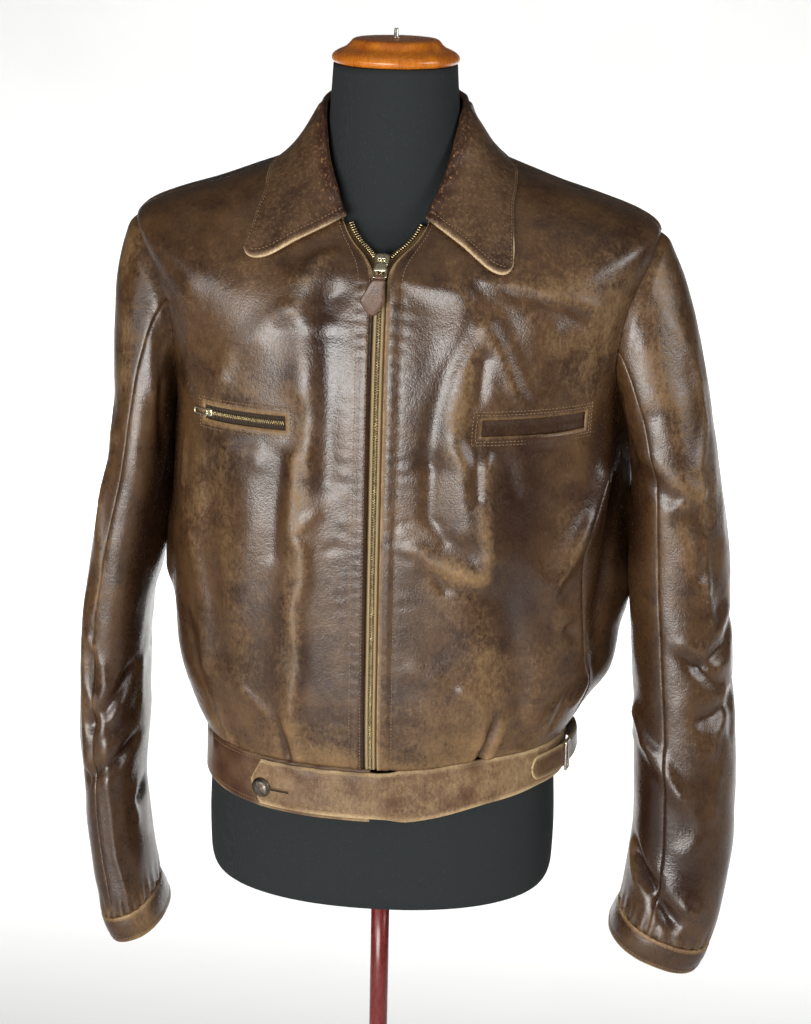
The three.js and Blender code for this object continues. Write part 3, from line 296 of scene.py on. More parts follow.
# A stitch: a ring of five carried along its length, thick in the middle and sunk at both ends
def stitchShape(length, thick):
    along = np.array([-0.5, -0.32, 0, 0.32, 0.5])[:, None] * length
    size = np.array([0.25, 0.8, 1, 0.8, 0.25])[:, None] * thick / 2
    sink = np.array([-0.55, 0.1, 0.3, 0.1, -0.55])[:, None] * thick
    turn = np.arange(5) * 2 * np.pi / 5
    ring = stacked(along, size * np.cos(turn), sink + size * np.sin(turn))
    return ring.reshape(-1, 3), roundFaces(5, 5)


stitchRuns = []
# A run of sewing: even places along a line
def stitch(line, normals, pitch=3.3):
    stitchRuns.append(evenPlaces(line, normals, pitch))


# Node tools: make adds a node with its settings, and links or sets each input
def nodeTree(tree):
    def make(kind, inputs=(), **settings):
        node = tree.nodes.new(kind)
        for key, value in settings.items():
            setattr(node, key, value)
        for key, value in dict(inputs).items():
            socket = node.inputs[key]
            if hasattr(value, "is_linked"):
                tree.links.new(value, socket)
            else:
                socket.default_value = value
        return node
    return make


# A node group: an input of None is a vector, a tuple a colour and a number a value
def newGroup(name, inputs, outputs):
    tree = bpy.data.node_groups.new(name, "ShaderNodeTree")
    for key, value in inputs.items():
        kind = "Vector" if value is None else "Color" if isinstance(value, tuple) else "Float"
        socket = tree.interface.new_socket(name=key, in_out="INPUT", socket_type="NodeSocket" + kind)
        if value is not None:
            socket.default_value = value
    for key in outputs:
        kind = "Color" if key == "Color" else "Float"
        tree.interface.new_socket(name=key, in_out="OUTPUT", socket_type="NodeSocket" + kind)
    make = nodeTree(tree)
    given, out = make("NodeGroupInput"), make("NodeGroupOutput")

    def done(**values):
        for key, value in values.items():
            tree.links.new(value, out.inputs[key])
        return tree

    return make, given.outputs, done


# One step of arithmetic on two values
def mathNode(make, operation, a, b=0.0):
    return make("ShaderNodeMath", {0: a, 1: b}, operation=operation).outputs[0]


# Sum of terms, each a value and its weight
def weighted(make, *terms):
    parts = [value if weight == 1 else mathNode(make, "MULTIPLY", value, weight) for value, weight in terms]
    total = parts[0]
    for part in parts[1:]:
        total = mathNode(make, "ADD", total, part)
    return total


# A value less a half
def centred(make, value):
    return mathNode(make, "SUBTRACT", value, 0.5)


# Smooth step of a value from one range to another
def rangeNode(make, value, low, high, toLow=0.0, toHigh=1.0):
    limits = {"Value": value, "From Min": low, "From Max": high, "To Min": toLow, "To Max": toHigh}
    return make("ShaderNodeMapRange", limits, interpolation_type="SMOOTHSTEP").outputs[0]


# Straight blend of two colours by a factor
def colourMix(make, factor, a, b):
    return make("ShaderNodeMix", {0: factor, 6: a, 7: b}, data_type="RGBA").outputs[2]


# A vector times a scale, part by part
def scaled(make, vector, scale):
    return make("ShaderNodeVectorMath", {0: vector, 1: scale}, operation="MULTIPLY").outputs[0]


# Layered noise over space, finer by its scale
def noise(make, vector, scale, detail=4.0, roughness=0.55, distortion=0.0):
    sizes = {"Vector": vector, "Scale": scale, "Detail": detail, "Roughness": roughness, "Distortion": distortion}
    return make("ShaderNodeTexNoise", sizes).outputs["Fac"]


# A value that the mesh's points carry
def attribute(make, name):
    return make("ShaderNodeAttribute", attribute_name=name).outputs["Fac"]


# Aged hide: dark to mid brown in clouds, tan where it is rubbed and pale at the hardest wear, dark where it is greasy
# and where the mesh carries painted shade, with upright scuffs, a network of cracks and a pebbled grain
def makeAgedHide():
    make, given, done = newGroup("agedHide", {
        "Vector": None, "Rub": 0.0, "Grime": 0.0, "Dark": (0.04, 0.02, 0.012, 1), "Mid": (0.1, 0.05, 0.028, 1),
        "Tan": (0.26, 0.155, 0.076, 1), "Pale": (0.43, 0.28, 0.14, 1), "Stain": (0.03, 0.011, 0.007, 1),
        "Wear": 0.0, "Crackle": 0.4, "Dry": 0.0, "Flecked": 0.0, "Chip": (0.3, 0.155, 0.065, 1),
    }, ["Color", "Roughness", "Polish", "Height"])
    vector, grime, stainAndShade = given["Vector"], given["Grime"], given["Stain"]
    clouds = noise(make, vector, 13.0, 5.0, 0.62, 0.4)
    blotch = noise(make, vector, 48.0, 6.0, 0.6, 0.4)
    wrinkle = noise(make, vector, 125.0, 4.0, 0.6, 0.6)
    speckle = noise(make, vector, 290.0, 3.0, 0.6)
    upright = scaled(make, vector, (1.0, 1.0, 0.6))
    scuff = noise(make, upright, 330.0, 4.0, 0.62, 0.2)
    fleck = noise(make, upright, 760.0, 3.0, 0.6)
    tone = weighted(make, (clouds, 1.5), (blotch, 0.9), (scuff, 0.4), (speckle, 0.25))
    brown = colourMix(make, rangeNode(make, tone, 1.1, 1.9), given["Dark"], given["Mid"])
    bare = weighted(make, (given["Rub"], 1), (given["Wear"], 1), (centred(make, blotch), 0.8),
                    (centred(make, scuff), 0.9), (centred(make, fleck), 0.55), (grime, -0.5))
    rubbed = rangeNode(make, bare, -0.05, 0.95)
    color = colourMix(make, rubbed, brown, given["Tan"])
    color = colourMix(make, rangeNode(make, bare, 0.7, 1.3), color, given["Pale"])
    # the grime input carries both real grease and painted shade; both darken towards the stain colour
    greaseAndShade = rangeNode(make, weighted(make, (grime, 0.95), (centred(make, clouds), 0.9)), 0.1, 1.1)
    color = colourMix(make, mathNode(make, "MULTIPLY", greaseAndShade, 0.88), color, stainAndShade)
    # cracks along the borders of uneven cells
    uneven = make("ShaderNodeTexNoise", {"Vector": vector, "Scale": 160.0, "Detail": 2.0}).outputs["Color"]
    bent = make("ShaderNodeVectorMath", {0: vector, 1: uneven, 2: (0.0015, 0.0015, 0.0015)}, operation="MULTIPLY_ADD")
    cells = make("ShaderNodeTexVoronoi", {"Vector": bent.outputs[0], "Scale": 210.0, "Randomness": 1.0},
                 feature="DISTANCE_TO_EDGE").outputs["Distance"]
    crack = mathNode(make, "MULTIPLY", rangeNode(make, cells, 0.0, 0.075, 1.0, 0.0), given["Crackle"])
    crack = mathNode(make, "MULTIPLY", crack, rangeNode(make, blotch, 0.38, 0.62))
    color = colourMix(make, crack, color, stainAndShade)
    chips = rangeNode(make, weighted(make, (scuff, 0.6), (fleck, 0.5)), 0.57, 0.72)
    color = colourMix(make, mathNode(make, "MULTIPLY", chips, given["Flecked"]), color, given["Chip"])
    pebble = make("ShaderNodeTexVoronoi", {"Vector": vector, "Scale": 620.0}, feature="F1").outputs["Distance"]
    rough = weighted(make, (rubbed, 0.3), (scuff, 0.22), (blotch, 0.16), (greaseAndShade, -0.07), (0.08, 1), (given["Dry"], 1))
    height = weighted(make, (pebble, -0.3), (scuff, 0.45), (blotch, 0.8), (wrinkle, 0.6), (crack, -0.14))
    return done(Color=color, Roughness=rough, Polish=mathNode(make, "SUBTRACT", 1.0, rubbed), Height=height)


# Tarnish: a mask that is high in soft blotches and fine specks, and the roughness that goes with it
def makeTarnish():
    make, given, done = newGroup("tarnish", {"Vector": None, "Amount": 0.5}, ["Mask", "Roughness", "Height"])
    soft = noise(make, given["Vector"], 190.0, 5.0, 0.65)
    specks = noise(make, given["Vector"], 900.0, 3.0, 0.6)
    total = weighted(make, (soft, 0.8), (specks, 0.35), (centred(make, given["Amount"]), 1))
    mask = rangeNode(make, total, 0.42, 0.78)
    return done(Mask=mask, Roughness=weighted(make, (mask, 0.28), (0.24, 1)), Height=specks)


# Threads: fine ribs across and along, a mask between 0 and 1, uneven by noise
def makeThreads():
    make, given, done = newGroup("threads", {"Vector": None, "Pitch": 1.0}, ["Mask", "Height", "Lint"])
    vector = given["Vector"]
    x, y, z = make("ShaderNodeSeparateXYZ", {0: vector}).outputs
    rate = mathNode(make, "DIVIDE", 6283.0, given["Pitch"])  # radians a metre, one turn a pitch
    sideways = weighted(make, (x, 1), (y, 1), (noise(make, vector, 60.0, 2.0), 0.0025))
    ribs, courses = [mathNode(make, "SINE", mathNode(make, "MULTIPLY", way, rate)) for way in (sideways, z)]
    height = weighted(make, (ribs, 0.5), (courses, 0.35))
    lint = rangeNode(make, noise(make, vector, 420.0, 4.0, 0.7), 0.56, 0.74)
    return done(Mask=rangeNode(make, height, -0.7, 0.7), Height=height, Lint=lint)


# Wood: rings bent by noise, drawn out along the turning axis, and darker pores
def makeWoodGrain():
    make, given, done = newGroup("woodGrain", {
        "Vector": None, "Light": (0.5, 0.2, 0.05, 1), "Deep": (0.2, 0.06, 0.015, 1),
    }, ["Color", "Roughness", "Height"])
    drawn = scaled(make, given["Vector"], (1.0, 1.0, 0.2))
    figure = noise(make, drawn, 42.0, 5.0, 0.6, 1.6)
    pores = noise(make, drawn, 520.0, 3.0, 0.6)
    blend = weighted(make, (figure, 0.85), (pores, 0.3))
    color = colourMix(make, rangeNode(make, blend, 0.38, 0.82), given["Deep"], given["Light"])
    return done(Color=color, Roughness=weighted(make, (pores, 0.16), (0.2, 1)), Height=pores)


agedHide, tarnish, threads, woodGrain = makeAgedHide(), makeTarnish(), makeThreads(), makeWoodGrain()


# A material whose Principled shader carries its constants on its own sockets
def newMaterial(name, **constants):
    material = bpy.data.materials.new(name)
    material.use_nodes = True
    material.node_tree.nodes.clear()
    make = nodeTree(material.node_tree)
    shader = make("ShaderNodeBsdfPrincipled", {key.replace("_", " "): value for key, value in constants.items()})
    make("ShaderNodeOutputMaterial", {"Surface": shader.outputs[0]})
    return material, make, shader, make("ShaderNodeTexCoord").outputs["Object"]


# Links into the shader's sockets
def wire(material, shader, **links):
    for key, value in links.items():
        material.node_tree.links.new(value, shader.inputs[key.replace("_", " ")])


# Normal tilted by the slope of a height
def bumped(make, height, strength, distance):
    return make("ShaderNodeBump", {"Height": height, "Strength": strength, "Distance": distance}).outputs[0]


# Leather: aged hide by the rub, grime and painted shade, flecks and dryness that the mesh carries
def hideMaterial(name, look):
    material, make, shader, position = newMaterial(name, Specular_IOR_Level=look["gloss"], Coat_Roughness=0.24)
    inputs = {key: (*look[key], 1) for key in ("Dark", "Mid", "Tan", "Pale", "Stain")}
    inputs.update({key: attribute(make, key.lower()) for key in ("Rub", "Grime", "Flecked")})
    dry = mathNode(make, "ADD", attribute(make, "dry"), look["Dry"])
    inputs.update(Vector=position, Wear=look["Wear"], Crackle=look["Crackle"], Dry=dry)
    group = make("ShaderNodeGroup", inputs, node_tree=agedHide).outputs
    wire(material, shader, Base_Color=group["Color"], Roughness=group["Roughness"],
         Coat_Weight=mathNode(make, "MULTIPLY", group["Polish"], look["coat"]),
         Normal=bumped(make, group["Height"], 0.3, 0.0012))
    return material


# Metal: a bright and a dull colour blended by the tarnish
def metalMaterial(name, bright, dull, amount):
    material, make, shader, position = newMaterial(name, Metallic=1.0)
    group = make("ShaderNodeGroup", {"Vector": position, "Amount": amount}, node_tree=tarnish).outputs
    wire(material, shader, Base_Color=colourMix(make, group["Mask"], (*bright, 1), (*dull, 1)),
         Roughness=group["Roughness"], Normal=bumped(make, group["Height"], 0.25, 0.0003))
    return material


# Cloth: two colours blended by the threads, then lint, then a cord where the mesh carries one
def clothMaterial(name, low, high, lint, pitch, strength, cord=None):
    material, make, shader, position = newMaterial(name, Roughness=0.92, Specular_IOR_Level=0.2)
    group = make("ShaderNodeGroup", {"Vector": position, "Pitch": pitch}, node_tree=threads).outputs
    base = colourMix(make, group["Mask"], (*low, 1), (*high, 1))
    base = colourMix(make, mathNode(make, "MULTIPLY", group["Lint"], 0.5), base, (*lint, 1))
    if cord:
        base = colourMix(make, attribute(make, "cord"), base, (*cord, 1))
    wire(material, shader, Base_Color=base, Normal=bumped(make, group["Height"], strength, 0.0006))
    return material


# Wood: the grain under a thin coat
def woodMaterial(name, light, deep, coat):
    material, make, shader, position = newMaterial(name, Coat_Weight=coat, Coat_Roughness=0.12)
    colours = {"Light": (*light, 1), "Deep": (*deep, 1)}
    group = make("ShaderNodeGroup", {"Vector": position, **colours}, node_tree=woodGrain).outputs
    wire(material, shader, Base_Color=group["Color"], Roughness=group["Roughness"],
         Normal=bumped(make, group["Height"], 0.15, 0.0003))
    return material


finishes = {
    "jacket": {"Dark": (0.031, 0.0138, 0.0064), "Mid": (0.087, 0.0435, 0.0168), "Tan": (0.205, 0.118, 0.047),
               "Pale": (0.38, 0.26, 0.14), "Stain": (0.0165, 0.006, 0.0036), "Wear": -0.03, "Crackle": 0.06,
               "Dry": 0.04, "gloss": 0.5, "coat": 0.05},
    "collar": {"Dark": (0.026, 0.011, 0.0056), "Mid": (0.1, 0.054, 0.026), "Tan": (0.215, 0.135, 0.067),
               "Pale": (0.55, 0.41, 0.24), "Stain": (0.022, 0.0065, 0.0042), "Wear": 0.08, "Crackle": 0.8, "Dry": 0.14,
               "gloss": 0.35, "coat": 0.02},
    "band": {"Dark": (0.075, 0.034, 0.0165), "Mid": (0.21, 0.127, 0.061), "Tan": (0.37, 0.255, 0.132),
             "Pale": (0.55, 0.41, 0.235), "Stain": (0.04, 0.0115, 0.0068), "Wear": 0.17, "Crackle": 0.9, "Dry": 0.14,
             "gloss": 0.3, "coat": 0.08},
    "fob": {"Dark": (0.05, 0.022, 0.013), "Mid": (0.11, 0.055, 0.03), "Tan": (0.19, 0.105, 0.06),
            "Pale": (0.36, 0.24, 0.16), "Stain": (0.06, 0.02, 0.015), "Wear": 0.05, "Crackle": 0.5, "Dry": 0.05,
            "gloss": 0.35, "coat": 0.05},
}
jacketHide = hideMaterial("jacketHide", finishes["jacket"])
collarHide = hideMaterial("collarHide", finishes["collar"])
bandHide = hideMaterial("bandHide", finishes["band"])
fobHide = hideMaterial("fobHide", finishes["fob"])
wornBrass = metalMaterial("wornBrass", (0.86, 0.81, 0.62), (0.4, 0.35, 0.22), 0.35)
dullBrass = metalMaterial("dullBrass", (0.64, 0.51, 0.28), (0.2, 0.145, 0.075), 0.5)
agedSteel = metalMaterial("agedSteel", (0.62, 0.58, 0.5), (0.2, 0.17, 0.13), 0.4)
antiqueSteel = metalMaterial("antiqueSteel", (0.34, 0.3, 0.24), (0.07, 0.055, 0.045), 0.55)
zipCloth = clothMaterial("zipCloth", (0.02, 0.014, 0.01), (0.06, 0.043, 0.03), (0.12, 0.09, 0.06), 1.1, 0.6)
zipTape = clothMaterial("zipTape", (0.07, 0.04, 0.017), (0.13, 0.078, 0.035), (0.2, 0.13, 0.07), 1.1, 0.5,
                        (0.34, 0.255, 0.14))
jersey = clothMaterial("jersey", (0.017, 0.0195, 0.0205), (0.021, 0.0245, 0.0255), (0.045, 0.05, 0.051), 0.8, 0.1)
sewingThread = clothMaterial("sewingThread", (0.16, 0.1, 0.055), (0.33, 0.22, 0.125), (0.42, 0.3, 0.18), 0.6, 0.3)
capWood = woodMaterial("capWood", (0.6, 0.185, 0.012), (0.35, 0.085, 0.006), 0.05)
standWood = woodMaterial("standWood", (0.19, 0.02, 0.017), (0.1, 0.009, 0.008), 0.12)
print("finishes made")

# Jacket body. A level is a squared-off ellipse: half width, depth to front and back, heights at side, front and back,
# sideways shift of the sides, middle of the depth, squareness. Level 0 is the waist seam and 1 the neck seam.
jacketBody = {
    "levels": np.array([
        [0.00, 171, 121, 112, 858, 858, 858, 3, 0, 2.3],
        [0.05, 184, 128, 126, 884, 882, 886, 4, 2, 2.3],
        [0.16, 203, 134, 138, 945, 935, 945, 7, 4, 2.4],
        [0.32, 208, 135, 142, 1050, 1035, 1050, 8, 6, 2.4],
        [0.50, 203, 132, 138, 1178, 1150, 1165, 8, 8, 2.4],
        [0.63, 213, 127, 134, 1262, 1218, 1250, 8, 8, 2.4],
        [0.76, 235, 118, 122, 1338, 1270, 1335, 4, 8, 2.3],
        [0.88, 150, 108, 92, 1374, 1312, 1392, 2, 9, 2.1],
        [1.00, 69, 86, 62, 1398, 1328, 1424, 0, 10, 2.0],
    ]),
    "wall": 2.0,
    "hemLift": 9,  # the waist seam is higher at the wearer's left
    # mm from the centre
    "frontEdge": [[0, 6.5], [0.85, 6.5], [0.88, 7.6], [0.9, 9.2], [0.925, 12], [0.96, 18.5], [1, 36]],
    "sideSeam": {
        "right": [[0, 80], [0.2, 76], [0.4, 80], [0.5, 88]],
        "left": [[0, 80], [0.13, 69], [0.2, 61], [0.34, 56], [0.41, 64], [0.46, 77], [0.5, 88]],
    },
    "armholeFront": [[0.5, 88], [0.53, 79.5], [0.56, 73.5], [0.6, 70], [0.65, 69.5], [0.7, 72.5], [0.745, 81],
                     [0.76, 88]],
    "armholeBack": [[0.5, 88], [0.53, 98], [0.56, 106], [0.6, 109], [0.65, 110], [0.7, 107], [0.745, 98], [0.76, 88]],
    "shoulderSeam": 88,
    "mmPerDegree": 3,
    "hideWave": 0.55,
    "underarm": 0.5, "shoulder": 0.76,  # levels
    "seamScale": 480,  # mm a unit of level, near enough for what follows the seams
}
# Folds of the body: path of [degrees, height], half width, rise
bodyFolds = [
    ([[-19.5, 1317], [-11.5, 1261], [-13.5, 1184], [-15, 1075], [-18, 904]], 13, 5),
    ([[-9.5, 1288], [-9, 1202], [-9.5, 1131]], 12, -3.5),
    ([[-32, 1150], [-30, 1080], [-34, 1000]], 22, 4),
    ([[-46, 1120], [-44, 1040], [-40, 960]], 18, -4),
    ([[18, 1291], [15.5, 1258], [15, 1206], [15.5, 1180]], 13, 2.4), ([[17, 1160], [18.3, 1144], [19, 1092]], 13, 7),
    ([[20, 1240], [21.3, 1120]], 6, -3),
    ([[8, 1290], [9, 1230], [9, 1160]], 15, -1.4),
    ([[23.5, 1162], [23.5, 1119], [24.5, 1064]], 10, 4.5),
    ([[27.5, 1035], [31.5, 988], [36.5, 929]], 18, -7),
    ([[3.5, 1076], [10.5, 1061], [27.5, 1040]], 10, 3.5),
    ([[66, 1123], [60, 1085], [51, 1062], [43, 1040]], 15, 6),
    ([[80, 1105], [72, 1060], [67, 1000], [71, 950]], 17, -7),
    ([[86, 1010], [90, 970], [88, 930]], 26, 8),
    ([[150, 1150], [146, 1000], [150, 900]], 22, 6),
    ([[168, 1180], [172, 1040], [166, 900]], 20, -6),
    ([[-150, 1130], [-148, 1000], [-154, 900]], 22, 6),
    ([[-128, 1100], [-126, 980], [-130, 900]], 18, -5),
]
# Finer creases that the leather has taken on
bodyCreases = [
    ([[-17, 1276], [-25, 1252], [-34, 1234], [-39, 1211]], 9, 2.6),
    ([[-21, 1262], [-30, 1238], [-36, 1222]], 9.1, -1.4),
    ([[-12, 1263], [-8.5, 1269], [-6, 1266], [-5, 1277]], 5.2, 0.6),
    ([[-11, 1256], [-7, 1258], [-5, 1268]], 5.2, -0.4),
    ([[-62.5, 1143], [-63.5, 1107]], 6.5, 2),
    ([[-16, 1174], [-17, 1105], [-17.5, 1082], [-14, 1067], [-13.5, 1037], [-16, 1012], [-14.5, 960], [-17.5, 912]],
     5.2, 2.2),
    ([[-14, 1174], [-12.5, 1136]], 3.9, 1),
    ([[-11, 1100], [-15.5, 1084]], 3.9, 1.3),
    ([[-3, 1081], [-7.5, 1069]], 3.9, -1.1),
    ([[-20, 1150], [-21.5, 1100], [-21, 1060]], 7.8, -1.4),
    ([[-32.5, 926], [-26, 908], [-23.5, 892]], 6.5, 1.9),
    ([[-38, 1165], [-40, 1130]], 7.8, 1.4),
    ([[-28, 1165], [-27, 1140]], 6.5, 1.2),
    ([[-55, 1060], [-48, 1000], [-50, 940]], 9, 1.8),
    ([[-58, 980], [-52, 930]], 7.8, -1.5),
    ([[-44, 1290], [-52, 1250], [-58, 1200]], 12, 1.8),
    ([[25, 1306], [31, 1303], [36.5, 1294], [50, 1281]], 5.9, 2.2),
    ([[27, 1296], [36, 1286], [48, 1272]], 9.1, -1.5),
    ([[7.5, 1302], [12.5, 1298], [18, 1299]], 9, 1.6),
    ([[20, 1296], [15.5, 1260], [12.5, 1228], [11, 1196], [10, 1150]], 6.5, -2.2),
    ([[19.5, 1269], [26, 1236], [32.5, 1199]], 6.5, 2),
    ([[21.5, 1290], [29.5, 1245], [35, 1212]], 9.1, -1.7),
    ([[38, 1262], [44, 1225], [46, 1198]], 8, 1.4),
    ([[55, 1270], [60, 1230]], 9, -1.6),
    ([[15.5, 1183], [17, 1164]], 5.2, 1.5),
    ([[10.5, 1144], [10, 1103], [14, 1082]], 5.2, -1.7),
    ([[10, 1150], [10.5, 1100]], 9, -1.6),
    ([[2, 1067], [7.5, 1064], [12.5, 1047], [14, 1036]], 5.2, -1.9),
    ([[23.5, 1168], [23.5, 1102], [24.5, 1047]], 5.2, 1.5),
    ([[28, 1160], [31, 1120]], 8, -1.6),
    ([[36, 1150], [40, 1100], [38, 1060]], 12, 1.6),
    ([[57.5, 1091], [52, 1066], [46, 1039], [42.5, 1014]], 6.5, 1.9),
    ([[47, 1012], [50, 1000]], 10, 2.4),
    ([[51, 990], [55, 980]], 6.5, -2),
    ([[19.5, 940], [24, 931], [28, 905], [31, 880]], 5.2, 2.2),
    ([[40, 930], [48, 900]], 9.1, 1.5),
    ([[56, 925], [58, 890]], 6.5, -1.4),
    ([[7, 958], [12, 950]], 9, 1.4),
    ([[70, 960], [66, 910]], 7.8, 1.7),
    ([[95, 1080], [100, 1030], [94, 980]], 12, 4),
    ([[108, 1060], [112, 960]], 11, -4),
    ([[120, 1220], [128, 1150], [134, 1060]], 13, 2.6),
    ([[138, 1262], [152, 1244], [164, 1240]], 15, -2),
    ([[-120, 1240], [-132, 1170], [-140, 1080]], 13, 2.4),
    ([[-166, 1180], [-172, 1100], [-168, 1000]], 13, 2.2),
    ([[178, 960], [174, 900]], 9.1, 2),
    ([[-110, 1050], [-112, 960]], 12, 3),
    ([[94, 1200], [97, 1145], [98, 1110], [98, 1060], [95, 1010]], 24, 11.5),  # fullness of the back under the arms
    ([[-97, 1145], [-99, 1110], [-98, 1060], [-95, 1000]], 24, 12),
    ([[-92, 1045], [-90, 1005]], 20, 4),
    ([[-96, 1020], [-92, 940]], 11, -3),
    ([[130, 960], [133, 890]], 8, 2.2),
    ([[-140, 950], [-137, 890]], 8, 2.2),
]
pleats = {"at": [-51, -23, 31.5], "depth": 4.5, "halfWidth": 5, "top": 925}
pockets = {
    "right": {"from": [-49, 1178], "to": [-19, 1178.5], "height": 13},
    "left": {"from": [22, 1181], "to": [56.5, 1182], "height": 15},
}

levelTracks = [track(jacketBody["levels"][:, [0, k]]) for k in range(1, 10)]
frontGap = track(jacketBody["frontEdge"])
sideSeam = {side: track(stops) for side, stops in jacketBody["sideSeam"].items()}
armholeFront, armholeBack = track(jacketBody["armholeFront"]), track(jacketBody["armholeBack"])


# A point of a ring: width follows a power of the sine and depth a power of the cosine, heights blend by the
# squared sine
def ringPoint(sizes, degrees):
    half, front, back, zSide, zFront, zBack, shift, mid, square = sizes
    s, c = np.sin(np.radians(degrees)), np.cos(np.radians(degrees))
    deep, high = np.where(c > 0, front, back), np.where(c > 0, zFront, zBack)
    x = shift * s * s + half * signedPower(s, 2 / square)
    y = mid - deep * signedPower(c, 2 / square)
    z = zSide * s * s + high * (1 - s * s)
    return stacked(x, y, z)


# Degrees past 180 less a whole turn
def wrapped(degrees):
    return np.where(degrees > 180, degrees - 360, degrees)


# Body without folds: the ring at a level, lifted low on the wearer's left by smooth steps
def plainBody(degrees, v):
    degrees, v = np.broadcast_arrays(np.asarray(degrees, float), np.asarray(v, float))
    point = ringPoint([t(v) for t in levelTracks], degrees)
    round = wrapped(degrees)
    point[..., 2] += jacketBody["hemLift"] * smooth(1 - v / 0.2) * smooth((round - 6) / 30) * smooth((160 - round) / 60)
    return point


# Normal of the plain body, from its central differences
def plainBodyNormal(degrees, v):
    v = np.clip(v, 0.004, 0.996)
    across = plainBody(degrees + 0.4, v) - plainBody(degrees - 0.4, v)
    up = plainBody(degrees, v + 0.004) - plainBody(degrees, v - 0.004)
    return unit(np.cross(across, up))


# Pleats at the waist seam: a narrow trough beside a soft ridge, fading upwards
def pleatRelief(degrees, z):
    fade = smooth((pleats["top"] - z) / 40) * smooth((z - 856) / 8)
    height = 0.0
    for at in pleats["at"]:
        wide = (degrees - at) * jacketBody["mmPerDegree"] / pleats["halfWidth"]
        height = height - pleats["depth"] * bell(wide, 0.8) + 0.5 * pleats["depth"] * bell(wide - 2.0, 1.3)
    return height * fade


# How far a place is from the mouth of a pocket, in millimetres
def pocketDistance(pocket, across, z):
    scale = jacketBody["mmPerDegree"]
    beside = outside(across, pocket["from"][0] * scale, pocket["to"][0] * scale)
    middle = np.interp(across / scale, [pocket["from"][0], pocket["to"][0]], [pocket["from"][1], pocket["to"][1]])
    above = np.maximum(np.abs(z - middle) - pocket["height"] / 2, 0)
    return np.hypot(beside, above)


# Relief of the body over its plain rings: folds and creases that die out at the zip, the pockets and the seams,
# then pleats
def bodyRelief(degrees, v, point):
    round = wrapped(degrees)
    scale = jacketBody["mmPerDegree"]
    across, z = round * scale, point[..., 2]
    calm = smooth((np.abs(across) - 5) / 22)
    for pocket in pockets.values():
        calm = calm * smooth((pocketDistance(pocket, across, z) - 5) / 22)
    calm = calm * smooth(v / 0.04) * smooth((0.97 - v) / 0.1)
    height = foldHeight(bodyFolds, scale, 1, round, z) + foldHeight(bodyCreases, scale, 1, round, z)
    height = height + jacketBody["hideWave"] * unevenness(point)
    return height * calm + pleatRelief(round, z)


# Degrees of the front edge: the arc sine of its distance over the half width, to half the squareness
def frontEdge(v):
    half, square = levelTracks[0](v), levelTracks[8](v)
    return np.degrees(np.arcsin((frontGap(v) / half) ** (square / 2)))


# Degrees of a panel's outer edge: side seam up to the underarm, then armhole, then shoulder seam
def outerEdge(side, armhole, v):
    above = np.where(v < jacketBody["shoulder"], armhole(v), jacketBody["shoulderSeam"])
    return np.where(v <= jacketBody["underarm"], sideSeam[side](v), above)


# Level at which the body has a height, by halving
def levelAtHeight(degrees, z):
    low, high = np.zeros(np.shape(degrees)), np.ones(np.shape(degrees))
    for _ in range(26):
        middle = (low + high) / 2
        below = plainBody(degrees, middle)[..., 2] < z
        low, high = np.where(below, middle, low), np.where(below, high, middle)
    return (low + high) / 2


# Arc length along the rows of a grid, and how far each point is from the two ends of its row
def acrossGrid(points):
    step = np.linalg.norm(np.diff(points, axis=1), axis=-1)
    length = np.concatenate([np.zeros((len(points), 1)), np.cumsum(step, 1)], 1)
    return length, length[:, -1:] - length


underarm, shoulder = jacketBody["underarm"], jacketBody["shoulder"]
bodyLevels = np.concatenate([
    np.linspace(0, underarm, 112)[:-1], np.linspace(underarm, shoulder, 56)[:-1], np.linspace(shoulder, 1, 46)])

